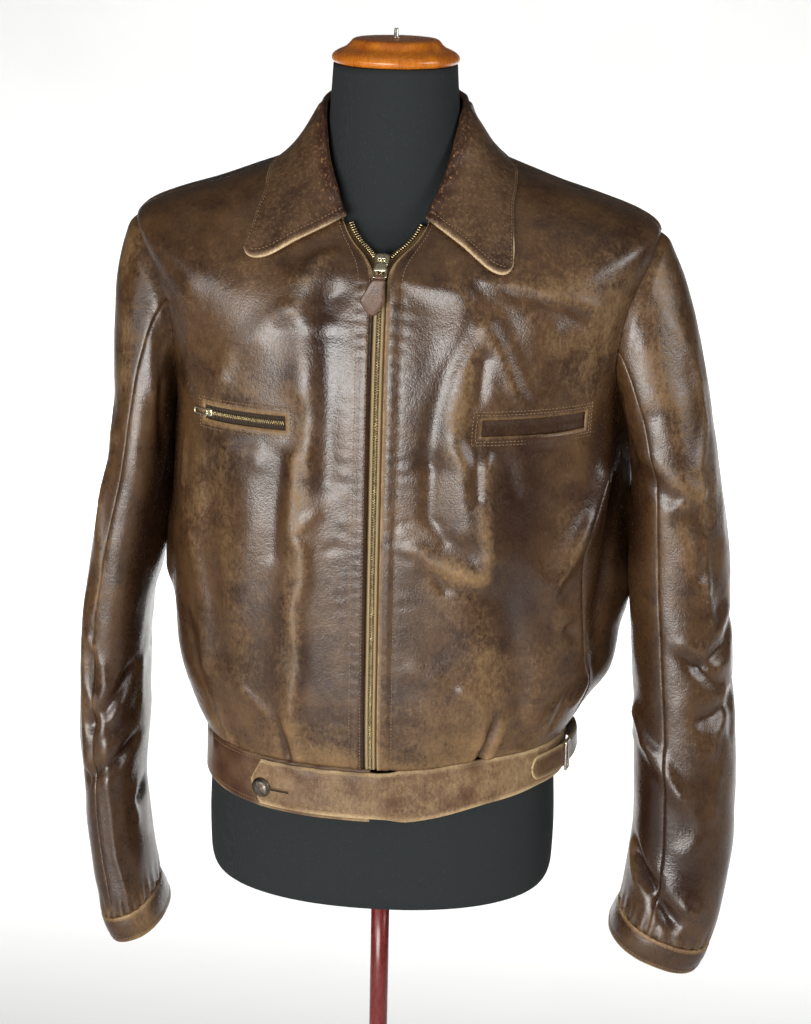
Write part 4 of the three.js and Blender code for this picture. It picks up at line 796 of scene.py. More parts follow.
# Fronts: the body between the front edge and the side seam, armhole and shoulder seam, with a mouth cut for the pocket
fronts = {
    "columns": 104,
    "seamTrim": 0.2 / 3.2,  # degrees: 0.2 mm at a seam
    "seamRoll": [0.9, 1.6],  # the edge turns in by this much over this width
    "placket": [1.0, 11],  # doubled leather along the zip: how proud and how wide
    "pucker": {"right": [0.36, 9.5, 8.5], "left": [0.5, 11.5, 9.5]},  # beside the zip: depth, spacing, distance
    "dimples": [0.45, 21, 5.5],  # beyond the sewing: depth, distance from the edge, half width
    "sewn": [2.6, 12.5],  # lines of sewing from the front edge
    "gape": {"right": 1.0, "left": 2.6},  # how far the lower lip of the pocket leans out
    "edgeRub": {"right": 0.1, "left": 1.1}, "edgeShade": {"right": 0.95, "left": 0.0},  # along the closed zip
    "lipRub": {"right": [0.95, 4.2], "left": [0.8, 2.4]},  # round the pocket: amount, width
    "flat": (0.31, 0.58), "area": 0.124,
    # worn spots: degrees, height, half widths across and along, how rubbed
    "rubbed": [
        [-44, 1120, 34, 40, 0.34], [-52, 1075, 30, 34, 0.2], [-36, 1045, 40, 46, 0.12], [-34, 960, 44, 40, 0.16],
        [-17, 1000, 9, 60, 0.22], [-15, 1110, 9, 60, 0.26], [-16, 1180, 12, 40, 0.24], [-30, 1215, 30, 26, 0.26],
        [-20, 890, 46, 24, 0.4], [-55, 880, 30, 22, 0.34], [18, 1235, 12, 60, 0.26], [15, 1190, 10, 34, 0.24],
        [14, 1050, 20, 26, 0.5], [22, 1045, 16, 16, 0.4], [30, 960, 40, 60, 0.34], [12, 900, 46, 34, 0.44],
        [30, 880, 40, 20, 0.4], [56, 1260, 30, 60, 0.45], [50, 1090, 24, 40, 0.26], [40, 1300, 40, 16, 0.3],
        [55, 890, 30, 24, 0.36], [24, 1100, 8, 60, 0.34], [-8, 870, 40, 14, 0.4],
    ],
    # darker spots: greasy ones, and painted shade under the arms
    "grimyAndShaded": [
        [-8, 1210, 16, 60, 0.5], [-8, 1254, 16, 30, 0.8], [-26, 1110, 26, 50, 0.45], [-60, 960, 26, 60, 0.4],
        [8, 1230, 20, 60, 0.6],
        [34, 1120, 30, 60, 0.95], [34, 1020, 22, 50, 0.8], [62, 1040, 26, 60, 0.6], [6, 1010, 16, 60, 0.5],
        [-60, 1300, 30, 40, 0.4], [10, 900, 40, 30, 0.35], [64, 1160, 16, 60, 0.6], [40, 1165, 30, 12, 0.3],
        # the spots at -78 and 76 degrees are painted shade under the arms
        [-78, 1130, 30, 110, 0.95], [76, 1130, 26, 110, 0.95], [60, 1100, 16, 50, 0.5],
    ],
}


# Wear and painted shade of a body panel: ridges of the relief and the spots rub it bare; hollows of the relief get
# painted shade, and the darker spots, partly grease and partly painted shade under the arms, darken it
def bodyWearAndShade(degrees, point, relief):
    round = wrapped(degrees)
    scale = jacketBody["mmPerDegree"]
    ridge = ridges(relief, 7)
    rub = spots(fronts["rubbed"], scale, 1, round, point[..., 2]) + np.clip(ridge * 0.1, -0.15, 0.32)
    # hollows of the relief are darkened as painted shade
    grime = spots(fronts["grimyAndShaded"], scale, 1, round, point[..., 2]) + np.clip(-ridge * 0.14, 0, 0.5)
    return np.clip(rub, 0, 1), np.clip(grime, 0, 1)


# Hollow along a seam: a bell curve of the distance, downwards
def seamRoll(distance):
    deep, wide = fronts["seamRoll"]
    return -deep * bell(distance, wide)


# Distance from the neck seam, counted near it alone
def fromNeck(v):
    return np.minimum(1 - v, 0.05) * jacketBody["seamScale"]


# A front: the plain body pushed out along its normal by relief, edge rolls and the leaning lips of the mouth
def makeFront(side):
    sign, pocket = signs[side], pockets[side]
    levels = bodyLevels[:, None]
    inner, outer = frontEdge(levels), outerEdge(side, armholeFront, levels)
    outer = outer - fronts["seamTrim"]
    ends = np.sort(np.abs([pocket["from"][0], pocket["to"][0]]))
    shares = np.linspace(0, 1, fronts["columns"])
    atMouth = 0.535
    mouth = (ends - frontEdge(atMouth)) / (outerEdge(side, armholeFront, np.array(atMouth)) - frontEdge(atMouth))
    columns = np.abs(shares[:, None] - mouth).argmin(0)
    shares[columns] = mouth
    degrees = sign * (inner + (outer - inner) * shares)
    # the rows next to the mouth bend to follow its two edges, and the columns its two ends
    def mouthEdges():
        height = np.interp(degrees, [pocket["from"][0], pocket["to"][0]], [pocket["from"][1], pocket["to"][1]])
        return height, [levelAtHeight(degrees, height + k * pocket["height"] / 2) for k in (-1, 1)]
    middleHeight, edgeLevels = mouthEdges()
    rowsOf = [np.abs(bodyLevels - np.median(e[:, columns[0]:columns[1]])).argmin() for e in edgeLevels]
    rows = np.arange(len(bodyLevels))
    far = outside(rows, *rowsOf)[:, None]
    offset = (ends - np.abs(degrees[:, columns])) * smooth(1 - far / 30)
    stops = [0, mouth[0], mouth[1], 1]
    first, second = [np.interp(shares, stops, hat) for hat in ([0, 1, 0, 0], [0, 0, 1, 0])]
    degrees = degrees + sign * (offset[:, :1] * first + offset[:, 1:] * second)
    middleHeight, edgeLevels = mouthEdges()
    v = np.broadcast_to(levels, degrees.shape).copy()
    # the shift is worked out on the two edges of the mouth and fades away from them and beside them
    shift = np.stack([e[r] - bodyLevels[r] for e, r in zip(edgeLevels, rowsOf)])
    beside = outside(shares, *shares[columns]) * 190
    near = smooth(1 - beside / 40)
    share = np.clip((rows - rowsOf[0]) / (rowsOf[1] - rowsOf[0]), 0, 1)[:, None]
    v += mixed(shift[0], shift[1], share) * near * smooth(1 - far / 26)
    v = np.clip(v, 0, 1)
    point = plainBody(degrees, v)
    relief = bodyRelief(degrees, v, point)
    fromFront, fromOuter = acrossGrid(point)
    along = point[..., 2]
    proud, wide = fronts["placket"]
    deep, spacing, middle = fronts["pucker"][side]
    sewn = fronts["sewn"][1]
    openV = smooth((0.88 - v) / 0.05)
    relief = relief + proud * smooth((wide - fromFront) / 3) * openV
    relief = relief + 0.8 * bell(fromFront - 1.9, 1.6) * (1 - openV)
    calm = openV * smooth(v / 0.05)
    puckered = np.sin(2 * np.pi * along / spacing + 1.3 * np.sin(along / 31)) * (0.7 + 0.3 * np.sin(along / 47 + sign))
    relief = relief + deep * puckered * bell(fromFront - middle, 3) * calm
    # uneven dimples beyond the sewing: two slow waves that only now and then meet
    dimpled = np.sin(along / 2.6 + 2.2 * np.sin(along / 23 + sign)) * (0.5 + 0.5 * np.sin(along / 9.7 + 3 * sign))
    dimpled = dimpled * (0.6 + 0.4 * np.sin(along / 41))
    deep, middle, half = fronts["dimples"]
    relief = relief + deep * dimpled * bell(fromFront - middle, half) * calm
    relief = relief - 0.5 * bell(fromFront - sewn, 1.2) * openV
    relief = relief + seamRoll(fromOuter)
    fromWaist = v * jacketBody["seamScale"]
    relief = relief + seamRoll(fromNeck(v)) + seamRoll(fromWaist)
    # lips of the pocket: a flattened frame inside the sewing, turned in at the mouth
    away = pocketDistance(pocket, wrapped(degrees) * jacketBody["mmPerDegree"], along)
    relief = relief - 0.5 * bell(away - 5, 1.3) - 1.0 * bell(away, 1.6)
    lower = smooth((middleHeight - along) / 6) * smooth(1 - away / 16)
    lean = bell((np.abs(degrees) - mixed(ends[0], ends[1], 0.62)) * 3, 26)
    relief = relief + fronts["gape"][side] * lower * lean
    normal = plainBodyNormal(degrees, v)
    points = point + normal * relief[..., None]
    rub, grime = bodyWearAndShade(degrees, point, relief)
    # the edge is piped along the V; below it one side has painted shade along the closed zip and the other is rubbed
    # pale
    rub = np.maximum(rub, mixed(1.3 * bell(fromFront, 3, 4), fronts["edgeRub"][side] * bell(fromFront, 1.7), openV))
    # painted shade along the right front's edge beside the closed zip
    grime = np.maximum(grime, fronts["edgeShade"][side] * bell(fromFront, 4.4, 4) * openV)
    # painted shadow just outside the raised piping along the open V
    grime = np.maximum(grime, 0.6 * bell(fromFront - 9, 6) * (1 - openV))
    amount, width = fronts["lipRub"][side]
    rub = np.maximum(rub, amount * bell(away, width))
    rub = np.maximum(rub, 0.15 * bell(fromOuter, 2.5))
    # painted shade along the side seam, armhole and shoulder seam
    grime = np.maximum(grime, 0.6 * bell(fromOuter, 3.5))
    rub = rub + 0.3 * bell(fromWaist, 9)
    keep = np.ones((degrees.shape[0] - 1, degrees.shape[1] - 1), bool)
    keep[rowsOf[0]:rowsOf[1], columns[0]:columns[1]] = False
    wear = {"rub": np.clip(rub, 0, 1.3), "grime": grime}
    mesh = wallMesh(f"front_{side}_hide", points, jacketBody["wall"], wear, keep, flip=sign)
    piece = place(f"front_{side}_hide", mesh, jacketHide, nodes=[f"front_{side}"])
    # sewing beside the zip and round the pocket
    normals = gridNormals(points, flip=sign)
    for offset in fronts["sewn"]:
        share = np.array([np.interp(offset, f, np.arange(len(f))) for f in fromFront])
        stitch(*[betweenRows(values.swapaxes(0, 1), share) for values in (points, normals)])


# Places of the body that run round a pocket's mouth at a distance from it
def pocketFrame(pocket, margin):
    scale = jacketBody["mmPerDegree"]
    (a, za), (b, zb) = pocket["from"], pocket["to"]
    half = pocket["height"] / 2 + margin
    a, b = a - margin / scale, b + margin / scale
    corners = np.array([[a, za - half], [b, zb - half], [b, zb + half], [a, za + half], [a, za - half]])
    share = np.concatenate([np.linspace(k, k + 1, 40, endpoint=False) for k in range(4)] + [[4]])
    degrees, z = [np.interp(share, np.arange(5), corners[:, k]) for k in (0, 1)]
    return degrees, levelAtHeight(degrees, z)


# Back: the body from the left side seam round behind to the right one
back = {
    "columns": 170, "flat": (0.62, 0.63), "area": 0.335,
    # worn places: shoulder blades, seat of the waist, both sides
    "rubbed": [
        [150, 1270, 60, 50, 0.3], [-150, 1260, 60, 50, 0.3], [180, 900, 90, 30, 0.35], [110, 1000, 40, 70, 0.25],
        [-110, 980, 40, 70, 0.3], [165, 1120, 40, 60, 0.2], [-165, 1050, 40, 60, 0.2], [178, 1380, 70, 24, 0.3],
        [-180, 900, 90, 30, 0.35], [-182, 1380, 70, 24, 0.3],
    ],
}


# The plain body pushed out along its normal by its relief and the rolls at its seams
def makeBack():
    levels = bodyLevels[:, None]
    gap = fronts["seamTrim"]
    left = outerEdge("left", armholeBack, levels) + gap
    right = 360 - outerEdge("right", armholeBack, levels) - gap
    degrees = left + (right - left) * np.linspace(0, 1, back["columns"])
    v = np.broadcast_to(levels, degrees.shape)
    point = plainBody(degrees, v)
    relief = bodyRelief(degrees, v, point)
    fromLeft, fromRight = acrossGrid(point)
    fromWaist = v * jacketBody["seamScale"]
    relief = relief + seamRoll(fromLeft) + seamRoll(fromRight) + seamRoll(fromNeck(v)) + seamRoll(fromWaist)
    points = point + plainBodyNormal(degrees, v) * relief[..., None]
    rub, grime = bodyWearAndShade(degrees, point, relief)
    rub = rub + 0.3 * bell(fromWaist, 9)
    rub = rub + spots(back["rubbed"], jacketBody["mmPerDegree"], 1, wrapped(degrees), point[..., 2])
    dry = 0.4 * smooth((v - 0.7) / 0.1)  # dusty shoulders
    wear = {"rub": np.clip(rub, 0, 1), "grime": grime, "dry": dry}
    mesh = wallMesh("back_hide", points, jacketBody["wall"], wear)
    piece = place("back_hide", mesh, jacketHide, nodes=["back"])


# Sleeves: a smooth head from the armhole to the first ring, then rings down to the cuff.
# Rows of a station: share down the sleeve, out from the centre, depth, height, half width, half depth, tilt
sleeves = {
    "right": np.array([
        [0, 230, 6, 1110, 31, 71, 28], [0.25, 247, 0, 1020, 31, 68, 10], [0.45, 256, -6, 940, 31, 64, 0],
        [0.62, 257, -16, 864, 32, 60, -4],
        [0.8, 255, -28, 784, 27, 55, -8], [0.93, 245, -40, 717, 28, 50, -16], [1, 239, -46, 683, 28, 48, -20]]),
    "left": np.array([
        [0, 263, 4, 1112, 43, 66, 26], [0.25, 272, -2, 1024, 47, 62, 10], [0.45, 279, -10, 948, 47, 60, 0],
        [0.62, 286, -20, 866, 48, 58, -4],
        [0.8, 289, -32, 782, 48, 54, -8], [0.93, 283, -44, 724, 48, 50, -16], [1, 276, -50, 692, 46, 47, -20]]),
    "square": 2.3, "fall": 0.1, "head": 0.3, "length": 480, "girth": 330,
    "seams": {"right": (0.28846, 0.80769), "left": (0.19231, 0.80769)},  # shares round where the two panels meet
    "columns": {"top": 76, "under": 64}, "rows": 210,
    "flat": {"top": (0.25, 0.64), "under": (0.19, 0.54)}, "area": {"top": 0.116, "under": 0.072},
}
# Folds of the sleeves: path of [share down, share round], half width, rise; round is 0 at the body, 0.25 in front,
# 0.5 outside
sleeveFolds = {
    "right": [
        ([[-0.05, 0.36], [0.35, 0.35], [0.7, 0.33]], 10, 4), ([[0.5, 0.12], [0.6, 0.3]], 9, -5),
        ([[0.66, 0.1], [0.72, 0.34]], 9, -4.5),
        ([[0.52, 0.7], [0.6, 0.9]], 10, -4), ([[0.2, 0.6], [0.45, 0.72]], 14, -4)],
    "left": [
        ([[0.36, 0.5], [0.42, 0.3]], 10, -5), ([[0.5, 0.5], [0.53, 0.3]], 9, -4.5),
        ([[0.56, 0.06], [0.68, 0.24]], 9, 4.5),
        ([[0.86, 0.08], [0.94, 0.24]], 10, -6), ([[0.05, 0.3], [0.3, 0.4]], 16, -4.5),
        ([[0.5, 0.65], [0.58, 0.85]], 10, -4.5)],
}
# Finer creases of the sleeves
sleeveCreases = {
    "right": [
        ([[-0.075, 0.408], [0.052, 0.375], [0.173, 0.323], [0.263, 0.295], [0.342, 0.302], [0.405, 0.318]], 6.5, 1.7),
        ([[-0.04, 0.44], [0.08, 0.41], [0.2, 0.36], [0.3, 0.335]], 7.2, -1.3),
        ([[0.42, 0.307], [0.472, 0.253], [0.515, 0.242], [0.565, 0.258], [0.617, 0.25]], 5.8, 1.7),
        ([[0.43, 0.33], [0.508, 0.325], [0.55, 0.292], [0.585, 0.258]], 5.8, 1.4),
        ([[0.45, 0.29], [0.52, 0.285]], 7.2, -2.2),
        ([[0.645, 0.242], [0.732, 0.235], [0.812, 0.217], [0.885, 0.225], [0.962, 0.198]], 6.5, 1.6),
        ([[0.585, 0.095], [0.615, 0.212]], 10.2, -1.9),
        ([[0.495, 0.058], [0.58, 0.062]], 5.8, 1.3),
        ([[0.768, 0.075], [0.84, 0.077]], 7.2, 1.4),
        ([[0.8, 0.01], [0.8, 0.05]], 8, -5),
        ([[-0.235, 0.448], [-0.2, 0.4]], 7.2, 1.1),
        ([[-0.263, 0.378], [-0.232, 0.37], [-0.2, 0.375]], 7.2, 1.1),
        ([[-0.25, 0.3], [-0.185, 0.19]], 12, 2.2),
        ([[-0.2, 0.15], [-0.1, 0.1]], 9, -2.5),
        ([[0.3, 0.6], [0.5, 0.68]], 9, 2.2),
        ([[0.42, 0.85], [0.5, 0.95]], 8, -3),
        ([[0.6, 0.55], [0.7, 0.62]], 8, 2.2),
        ([[0.1, 0.8], [0.3, 0.85]], 12, 2.5),
        ([[0.1, 0.95], [0.3, 0.95]], 24, 4),
        ([[0.75, 0.7], [0.85, 0.8]], 8, -2.5),
        ([[0.88, 0.5], [0.95, 0.55]], 8.7, -1.4),
    ],
    "left": [
        ([[-0.26, 0.27], [-0.247, 0.328], [-0.235, 0.383], [-0.21, 0.41], [-0.17, 0.43], [-0.125, 0.43],
          [-0.087, 0.415], [-0.065, 0.38],
          [-0.04, 0.343], [0.01, 0.34], [0.095, 0.348], [0.182, 0.345], [0.245, 0.343]], 5.8, 1.6),
        ([[-0.2, 0.33], [-0.1, 0.33]], 26, -1.2),
        ([[-0.247, 0.092], [-0.185, 0.083], [-0.127, 0.13], [-0.102, 0.195], [-0.057, 0.247], [-0.008, 0.312],
          [0.01, 0.34]], 7.2, 1.7),
        ([[-0.2, 0.05], [-0.1, 0.1], [-0.06, 0.18], [-0.01, 0.25]], 8, -2.4),
        ([[-0.17, 0.18], [-0.137, 0.283]], 7.2, -1.2),
        ([[0.232, 0.32], [0.34, 0.352], [0.38, 0.403]], 7.2, 1.7),
        ([[0.398, 0.258], [0.453, 0.325], [0.482, 0.413]], 7.2, -2.3),
        ([[0.37, 0.26], [0.42, 0.34], [0.44, 0.42]], 8.7, 1.6),
        ([[0.49, 0.4], [0.535, 0.38], [0.565, 0.34], [0.59, 0.33]], 6.5, 1.9),
        ([[0.53, 0.44], [0.565, 0.42]], 8.7, -2.2),
        ([[0.647, 0.345], [0.725, 0.323]], 7.2, 1.4),
        ([[0.69, 0.233], [0.728, 0.285], [0.76, 0.302], [0.802, 0.253]], 7.2, 1.3),
        ([[0.837, 0.055], [0.875, 0.11], [0.885, 0.18]], 7.2, -3.2),
        ([[0.86, 0.03], [0.905, 0.1], [0.915, 0.17]], 8.7, 2.2),
        ([[0.617, 0.015], [0.603, 0.125], [0.607, 0.185], [0.64, 0.21]], 5.8, 1.6),
        ([[0.917, 0.278], [0.92, 0.3]], 10, 3.5),
        ([[0.93, 0.22], [0.955, 0.25]], 7.2, -2.2),
        ([[0.3, 0.62], [0.48, 0.7]], 9, 2.4),
        ([[0.4, 0.86], [0.5, 0.94]], 8, -3),
        ([[0.62, 0.56], [0.7, 0.64]], 8, 2.2),
        ([[0.1, 0.8], [0.3, 0.86]], 12, 2.5),
        ([[0.76, 0.7], [0.86, 0.8]], 8, -2.5),
    ],
}
# Worn spots of the sleeves, and darker spots, greasy in places and painted shade under the arm: share down, share
# round, half widths along and round, amount
sleeveRubbed = {
    "right": [[-0.167, 0.352, 30, 18, 0.45], [-0.265, 0.458, 16, 14, 0.5], [0.2, 0.3, 90, 6, 0.25],
              [0.5, 0.26, 30, 14, 0.15], [0.75, 0.235, 70, 8, 0.15],
              [0.3, 0.2, 60, 22, 0.1], [0.8, 0.08, 30, 10, 0.2], [0.95, 0.2, 20, 60, 0.1], [0.4, 0.55, 70, 30, 0.4],
              [0.1, 0.6, 60, 30, 0.25]],
    "left": [[-0.26, 0.42, 18, 14, 0.55], [-0.2, 0.3, 40, 26, 0.45], [-0.02, 0.36, 60, 30, 0.35],
             [0.1, 0.25, 60, 30, 0.2], [0.42, 0.3, 24, 24, 0.2], [0.85, 0.39, 40, 16, 0.25],
             [0.86, 0.05, 20, 20, 0.4], [0.6, 0.28, 40, 20, 0.2], [0.95, 0.2, 16, 60, 0.2],
             [0.35, 0.28, 40, 20, 0.12], [0.42, 0.6, 70, 30, 0.4]],
}
sleeveGrimyAndShaded = {
    # the spots at the top of each sleeve next to the body are painted shade under the arm
    "right": [[0.1, 0.1, 130, 34, 0.9], [0.03, 0.268, 16, 12, 0.7], [0.6, 0.16, 60, 24, 0.6],
              [0.45, 0.15, 70, 30, 0.4], [0.2, 0.05, 120, 30, 0.5], [0.82, 0.2, 110, 60, 0.55]],
    "left": [[0.05, 0.08, 110, 30, 0.9], [0.5, 0.13, 80, 24, 0.5], [0.85, 0.26, 24, 20, 0.4],
             [-0.14, 0.23, 8, 20, 0.5], [0.75, 0.12, 50, 24, 0.4], [0.8, 0.22, 120, 60, 0.75],
             [0.4, 0.27, 60, 40, 0.4]],
}
sleeveTracks = {side: [track(sleeves[side][:, [0, k]]) for k in range(1, 7)] for side in signs}


# A ring of the sleeve: a squared-off ellipse turned by its tilt, with its back a little higher
def sleeveRing(side, q, t):
    x, y, z, half, deep, tilt = [value(q) for value in sleeveTracks[side]]
    out = signedPower(-np.cos(2 * np.pi * t), 2 / sleeves["square"])
    depth = signedPower(-np.sin(2 * np.pi * t), 2 / sleeves["square"])
    turn = np.radians(tilt)
    high = z + half * out * np.sin(turn) + deep * depth * sleeves["fall"]
    return stacked(signs[side] * (x + half * out * np.cos(turn)), y + deep * depth, high)


# Where the sleeve meets the body, as degrees and level, from the underarm up the front and down behind
def armholePlace(side, t):
    t = t % 1.0
    v = underarm + 2 * (shoulder - underarm) * np.where(t <= 0.5, t, 1 - t)
    return signs[side] * np.where(t <= 0.5, outerEdge(side, armholeFront, v), outerEdge(side, armholeBack, v)), v


# The way the sleeve head leaves the armhole
def headDirection(side, t):
    top = (1 - np.cos(2 * np.pi * t)) / 2
    return stacked(signs[side] * (26 + 84 * top), -46 * np.sin(2 * np.pi * t), -(66 + 48 * top))


# Head: a cubic from the armhole to the first ring that starts along the head's direction and ends along the sleeve
def plainSleeve(side, q, t):
    q, t = np.broadcast_arrays(np.asarray(q, float), np.asarray(t, float))
    ring = sleeveRing(side, np.maximum(q, 0), t)
    k = np.clip((q + sleeves["head"]) / sleeves["head"], 0, 1)[..., None]
    r = 1 - k
    first = sleeveRing(side, 0.0, t)
    leaving = (sleeveRing(side, 0.02, t) - first) * sleeves["head"] / 0.02
    head = plainBody(*armholePlace(side, t)) * (1 + 2 * k) * r * r + headDirection(side, t) * k * r * r
    head = head + first * k * k * (3 - 2 * k) - leaving * k * k * r
    return np.where((q >= 0)[..., None], ring, head)


# Normal of the plain sleeve, from its central differences
def plainSleeveNormal(side, q, t):
    low, high = np.maximum(q - 0.01, -sleeves["head"]), q + 0.01
    alongQ = plainSleeve(side, high, t) - plainSleeve(side, low, t)
    alongT = plainSleeve(side, q, t + 0.012) - plainSleeve(side, q, t - 0.012)
    return unit(np.cross(alongQ, alongT)) * signs[side]


# Sum of folds or spots, measured the short way round, so that they pass the body side without a break
def allRound(shape, places, q, t):
    return sum(shape(places, sleeves["length"], sleeves["girth"], q, t % 1 + shift) for shift in (-1, 0, 1))


# A panel: the plain sleeve pushed out along its normal by folds and seam rolls, its first rows tucked in
def makeSleevePanel(side, name, start, end):
    q = np.concatenate([np.linspace(-sleeves["head"], -0.26, 14)[:-1], np.linspace(-0.26, 1, sleeves["rows"])])[:, None]
    trim = 0.15 / sleeves["girth"]
    t = np.linspace(start + trim, end - trim, sleeves["columns"][name])[None]
    q, t = np.broadcast_arrays(q, t)
    point = plainSleeve(side, q, t)
    calm = smooth((q + sleeves["head"]) / 0.16) * smooth((1 - q) / 0.05)
    fromHead, fromCuff = (q + sleeves["head"]) * sleeves["length"], (1 - q) * sleeves["length"]
    relief = allRound(foldHeight, sleeveFolds[side], q, t) * calm
    relief = relief + (allRound(foldHeight, sleeveCreases[side], q, t) + 0.8 * unevenness(point * 1.25)) * calm
    fromFront, fromBack = acrossGrid(point)
    relief = relief + 0.55 * (seamRoll(fromFront) + seamRoll(fromBack)) + seamRoll(fromHead) + seamRoll(fromCuff)
    gathers = np.sin(2 * np.pi * t * sleeves["girth"] / 13 + 2 * np.sin(9 * t)) * 0.9 * bell(fromCuff, 16)
    relief = relief + gathers + 1.4 * bell(fromHead - 9, 7) * smooth(1.4 - 4 * np.abs((t % 1) - 0.5))
    tucked = smooth(1 - (q + sleeves["head"]) / 0.016)[..., None]  # the first rows go under the body's edge
    under = 3 * unit(headDirection(side, t)) + 2.2 * plainBodyNormal(*armholePlace(side, t))
    points = point + plainSleeveNormal(side, q, t) * relief[..., None] - tucked * under
    ridge = ridges(relief, 6)
    rub = allRound(spots, sleeveRubbed[side], q, t) + np.clip(ridge * 0.13, -0.15, 0.4)
    lower = smooth((q - 0.05) / 0.3)
    rub = rub + 0.35 * lower * (bell(fromFront, 2.4) + bell(fromBack, 2.4)) + 0.3 * bell(fromCuff, 12)
    # hollows of the relief are darkened as painted shade, on top of the darker spots
    grime = allRound(spots, sleeveGrimyAndShaded[side], q, t) + np.clip(-ridge * 0.16, 0, 0.5)
    label = f"sleeve_{side}_{name}"
    wear = {"rub": np.clip(rub, 0, 1), "grime": np.clip(grime, 0, 1)}
    mesh = wallMesh(label + "_hide", points, jacketBody["wall"], wear, flip=-signs[side])
    piece = place(label + "_hide", mesh, jacketHide, nodes=[label])


# Cuffs: the last ring carried on along the sleeve's axis, with a sewn edge
cuffs = {"height": 26, "wall": 3.0, "proud": 0.8, "gap": 0.3, "flat": (0.28, 0.03), "columns": 150}


# The ring moved along the axis by its share of the height, and out by half a sine less a bell at each sewn line
def makeCuff(side):
    t = np.linspace(0, 1, cuffs["columns"])[None]
    share = np.linspace(0, 1, 15)[:, None]
    tilt = np.radians(sleeveTracks[side][5](1.0))
    away = unit(np.array([signs[side] * np.sin(tilt), sleeves["fall"], -np.cos(tilt)]))
    normal = plainSleeveNormal(side, np.full_like(t, 0.99), t)
    normal = unit(normal - (normal @ away)[..., None] * away)
    ring = sleeveRing(side, 1.0, t)
    bulge = 1.2 * np.sin(np.pi * share) + 0.35 * unevenness(ring * 2)
    for sewn in (0.8, 0.1):
        bulge = bulge - 0.5 * bell((share - sewn) * cuffs["height"], 1.0)
    points = ring + away * (cuffs["gap"] + share * cuffs["height"])[..., None]
    points = points + normal * (cuffs["proud"] + bulge)[..., None]
    fromSeam, fromRim = share * cuffs["height"], (1 - share) * cuffs["height"]
    rub = 0.1 + 0.75 * bell(fromRim, 2) + 0.85 * bell(fromSeam, 2.2) + 0.3 * unevenness(ring)
    rub = np.broadcast_to(rub, points.shape[:2])
    wear = {"rub": np.clip(rub, 0, 1), "grime": np.clip(0.45 - rub, 0, 1)}
    mesh = wallMesh(f"cuff_{side}_hide", points, cuffs["wall"], wear, closed=True, flip=-signs[side], round=0.9)
    piece = place(f"cuff_{side}_hide", mesh, jacketHide, nodes=[f"cuff_{side}"], slot="worn_leather")
    normals = gridNormals(points, True, -signs[side])
    for row in (1, 12):
        stitch(points[row], normals[row])


makeFront("right")
makeFront("left")
makeBack()
print("body made")
for side, (front, rear) in sleeves["seams"].items():
    makeSleevePanel(side, "top", front, rear)
    makeSleevePanel(side, "under", rear, 1 + front)
    makeCuff(side)
print("sleeves made")

# Collar: the stand rises from the neck seam to the roll; the fall turns over it and lies on the body.
# The share c runs from the right front end (-1) round the back (0) to the left front end (1)
collar = {
    "end": 32, "standLean": 8, "wall": 2.2, "lift": 3.2, "rest": 1.0,
    "standHeight": [[0, 33], [0.5, 44], [0.7, 38], [0.88, 19], [1, 4]],
    "edge": {
        "right": {"round": [[0, 180], [0.5, 104], [0.75, 64], [0.88, 47.5], [0.95, 38], [1, 31]],
                  "level": [[0, 0.905], [0.5, 0.95], [0.75, 0.922], [0.88, 0.873], [0.95, 0.834], [1, 0.812]]},
        "left": {"round": [[0, 180], [0.5, 104], [0.75, 60.5], [0.88, 43], [0.95, 33], [1, 26.8]],
                 "level": [[0, 0.905], [0.5, 0.95], [0.75, 0.918], [0.88, 0.869], [0.95, 0.83], [1, 0.806]]},
    },
    # across the fall: share from the neck seam, how far out, how far up
    "rows": np.array([[0, -1.5, 2.8], [0, 1.8, 3.6], [0.02, 5.4, 1.4], [0.12, 5.28, 0], [0.3, 4.2, 0],
                      [0.52, 2.88, 0], [0.76, 1.44, 0], [0.92, 0.48, 0], [1, 0, 0]]),
    "tip": (0.76, 0.055), "columns": 230, "fine": 64, "sewn": 7.5,
    "flat": (0.46, 0.095), "area": 0.038, "standFlat": (0.36, 0.044),
}
standHeight = track(collar["standHeight"])
collarEdges = {side: {key: track(stops) for key, stops in collar["edge"][side].items()} for side in signs}


# Degrees along the neck seam: a straight blend from behind to the front end
def neckRound(c):
    return mixed(180, collar["end"], np.abs(c))


# Degrees of the right half counted on past the back
def aroundBack(c, degrees):
    return np.where(c < 0, 360 - degrees, degrees)


# A place on the neck seam, and the level way out from near the neck's middle
def neckPlace(c):
    point = plainBody(aroundBack(c, neckRound(c)), np.ones(np.shape(c)))
    outward = point * (1, 1, 0) - np.array([0, 10.0, 0])
    outward[..., 2] = 0
    return point, unit(outward)


# The roll: the neck seam raised by the stand's height and leaning in with it
def rollPoint(c):
    point, outward = neckPlace(c)
    height = standHeight(np.abs(c))
    lean = collar["standLean"] * height / standHeight(0.5)
    return point - outward * lean[..., None] + stacked(0, 0, height)


# Square to the roll line and upwards
def rollUp(c):
    along = unit(rollPoint(np.minimum(c + 0.01, 1)) - rollPoint(np.maximum(c - 0.01, -1)))
    return unit(np.array([0, 0, 1.0]) - along * along[..., 2:])


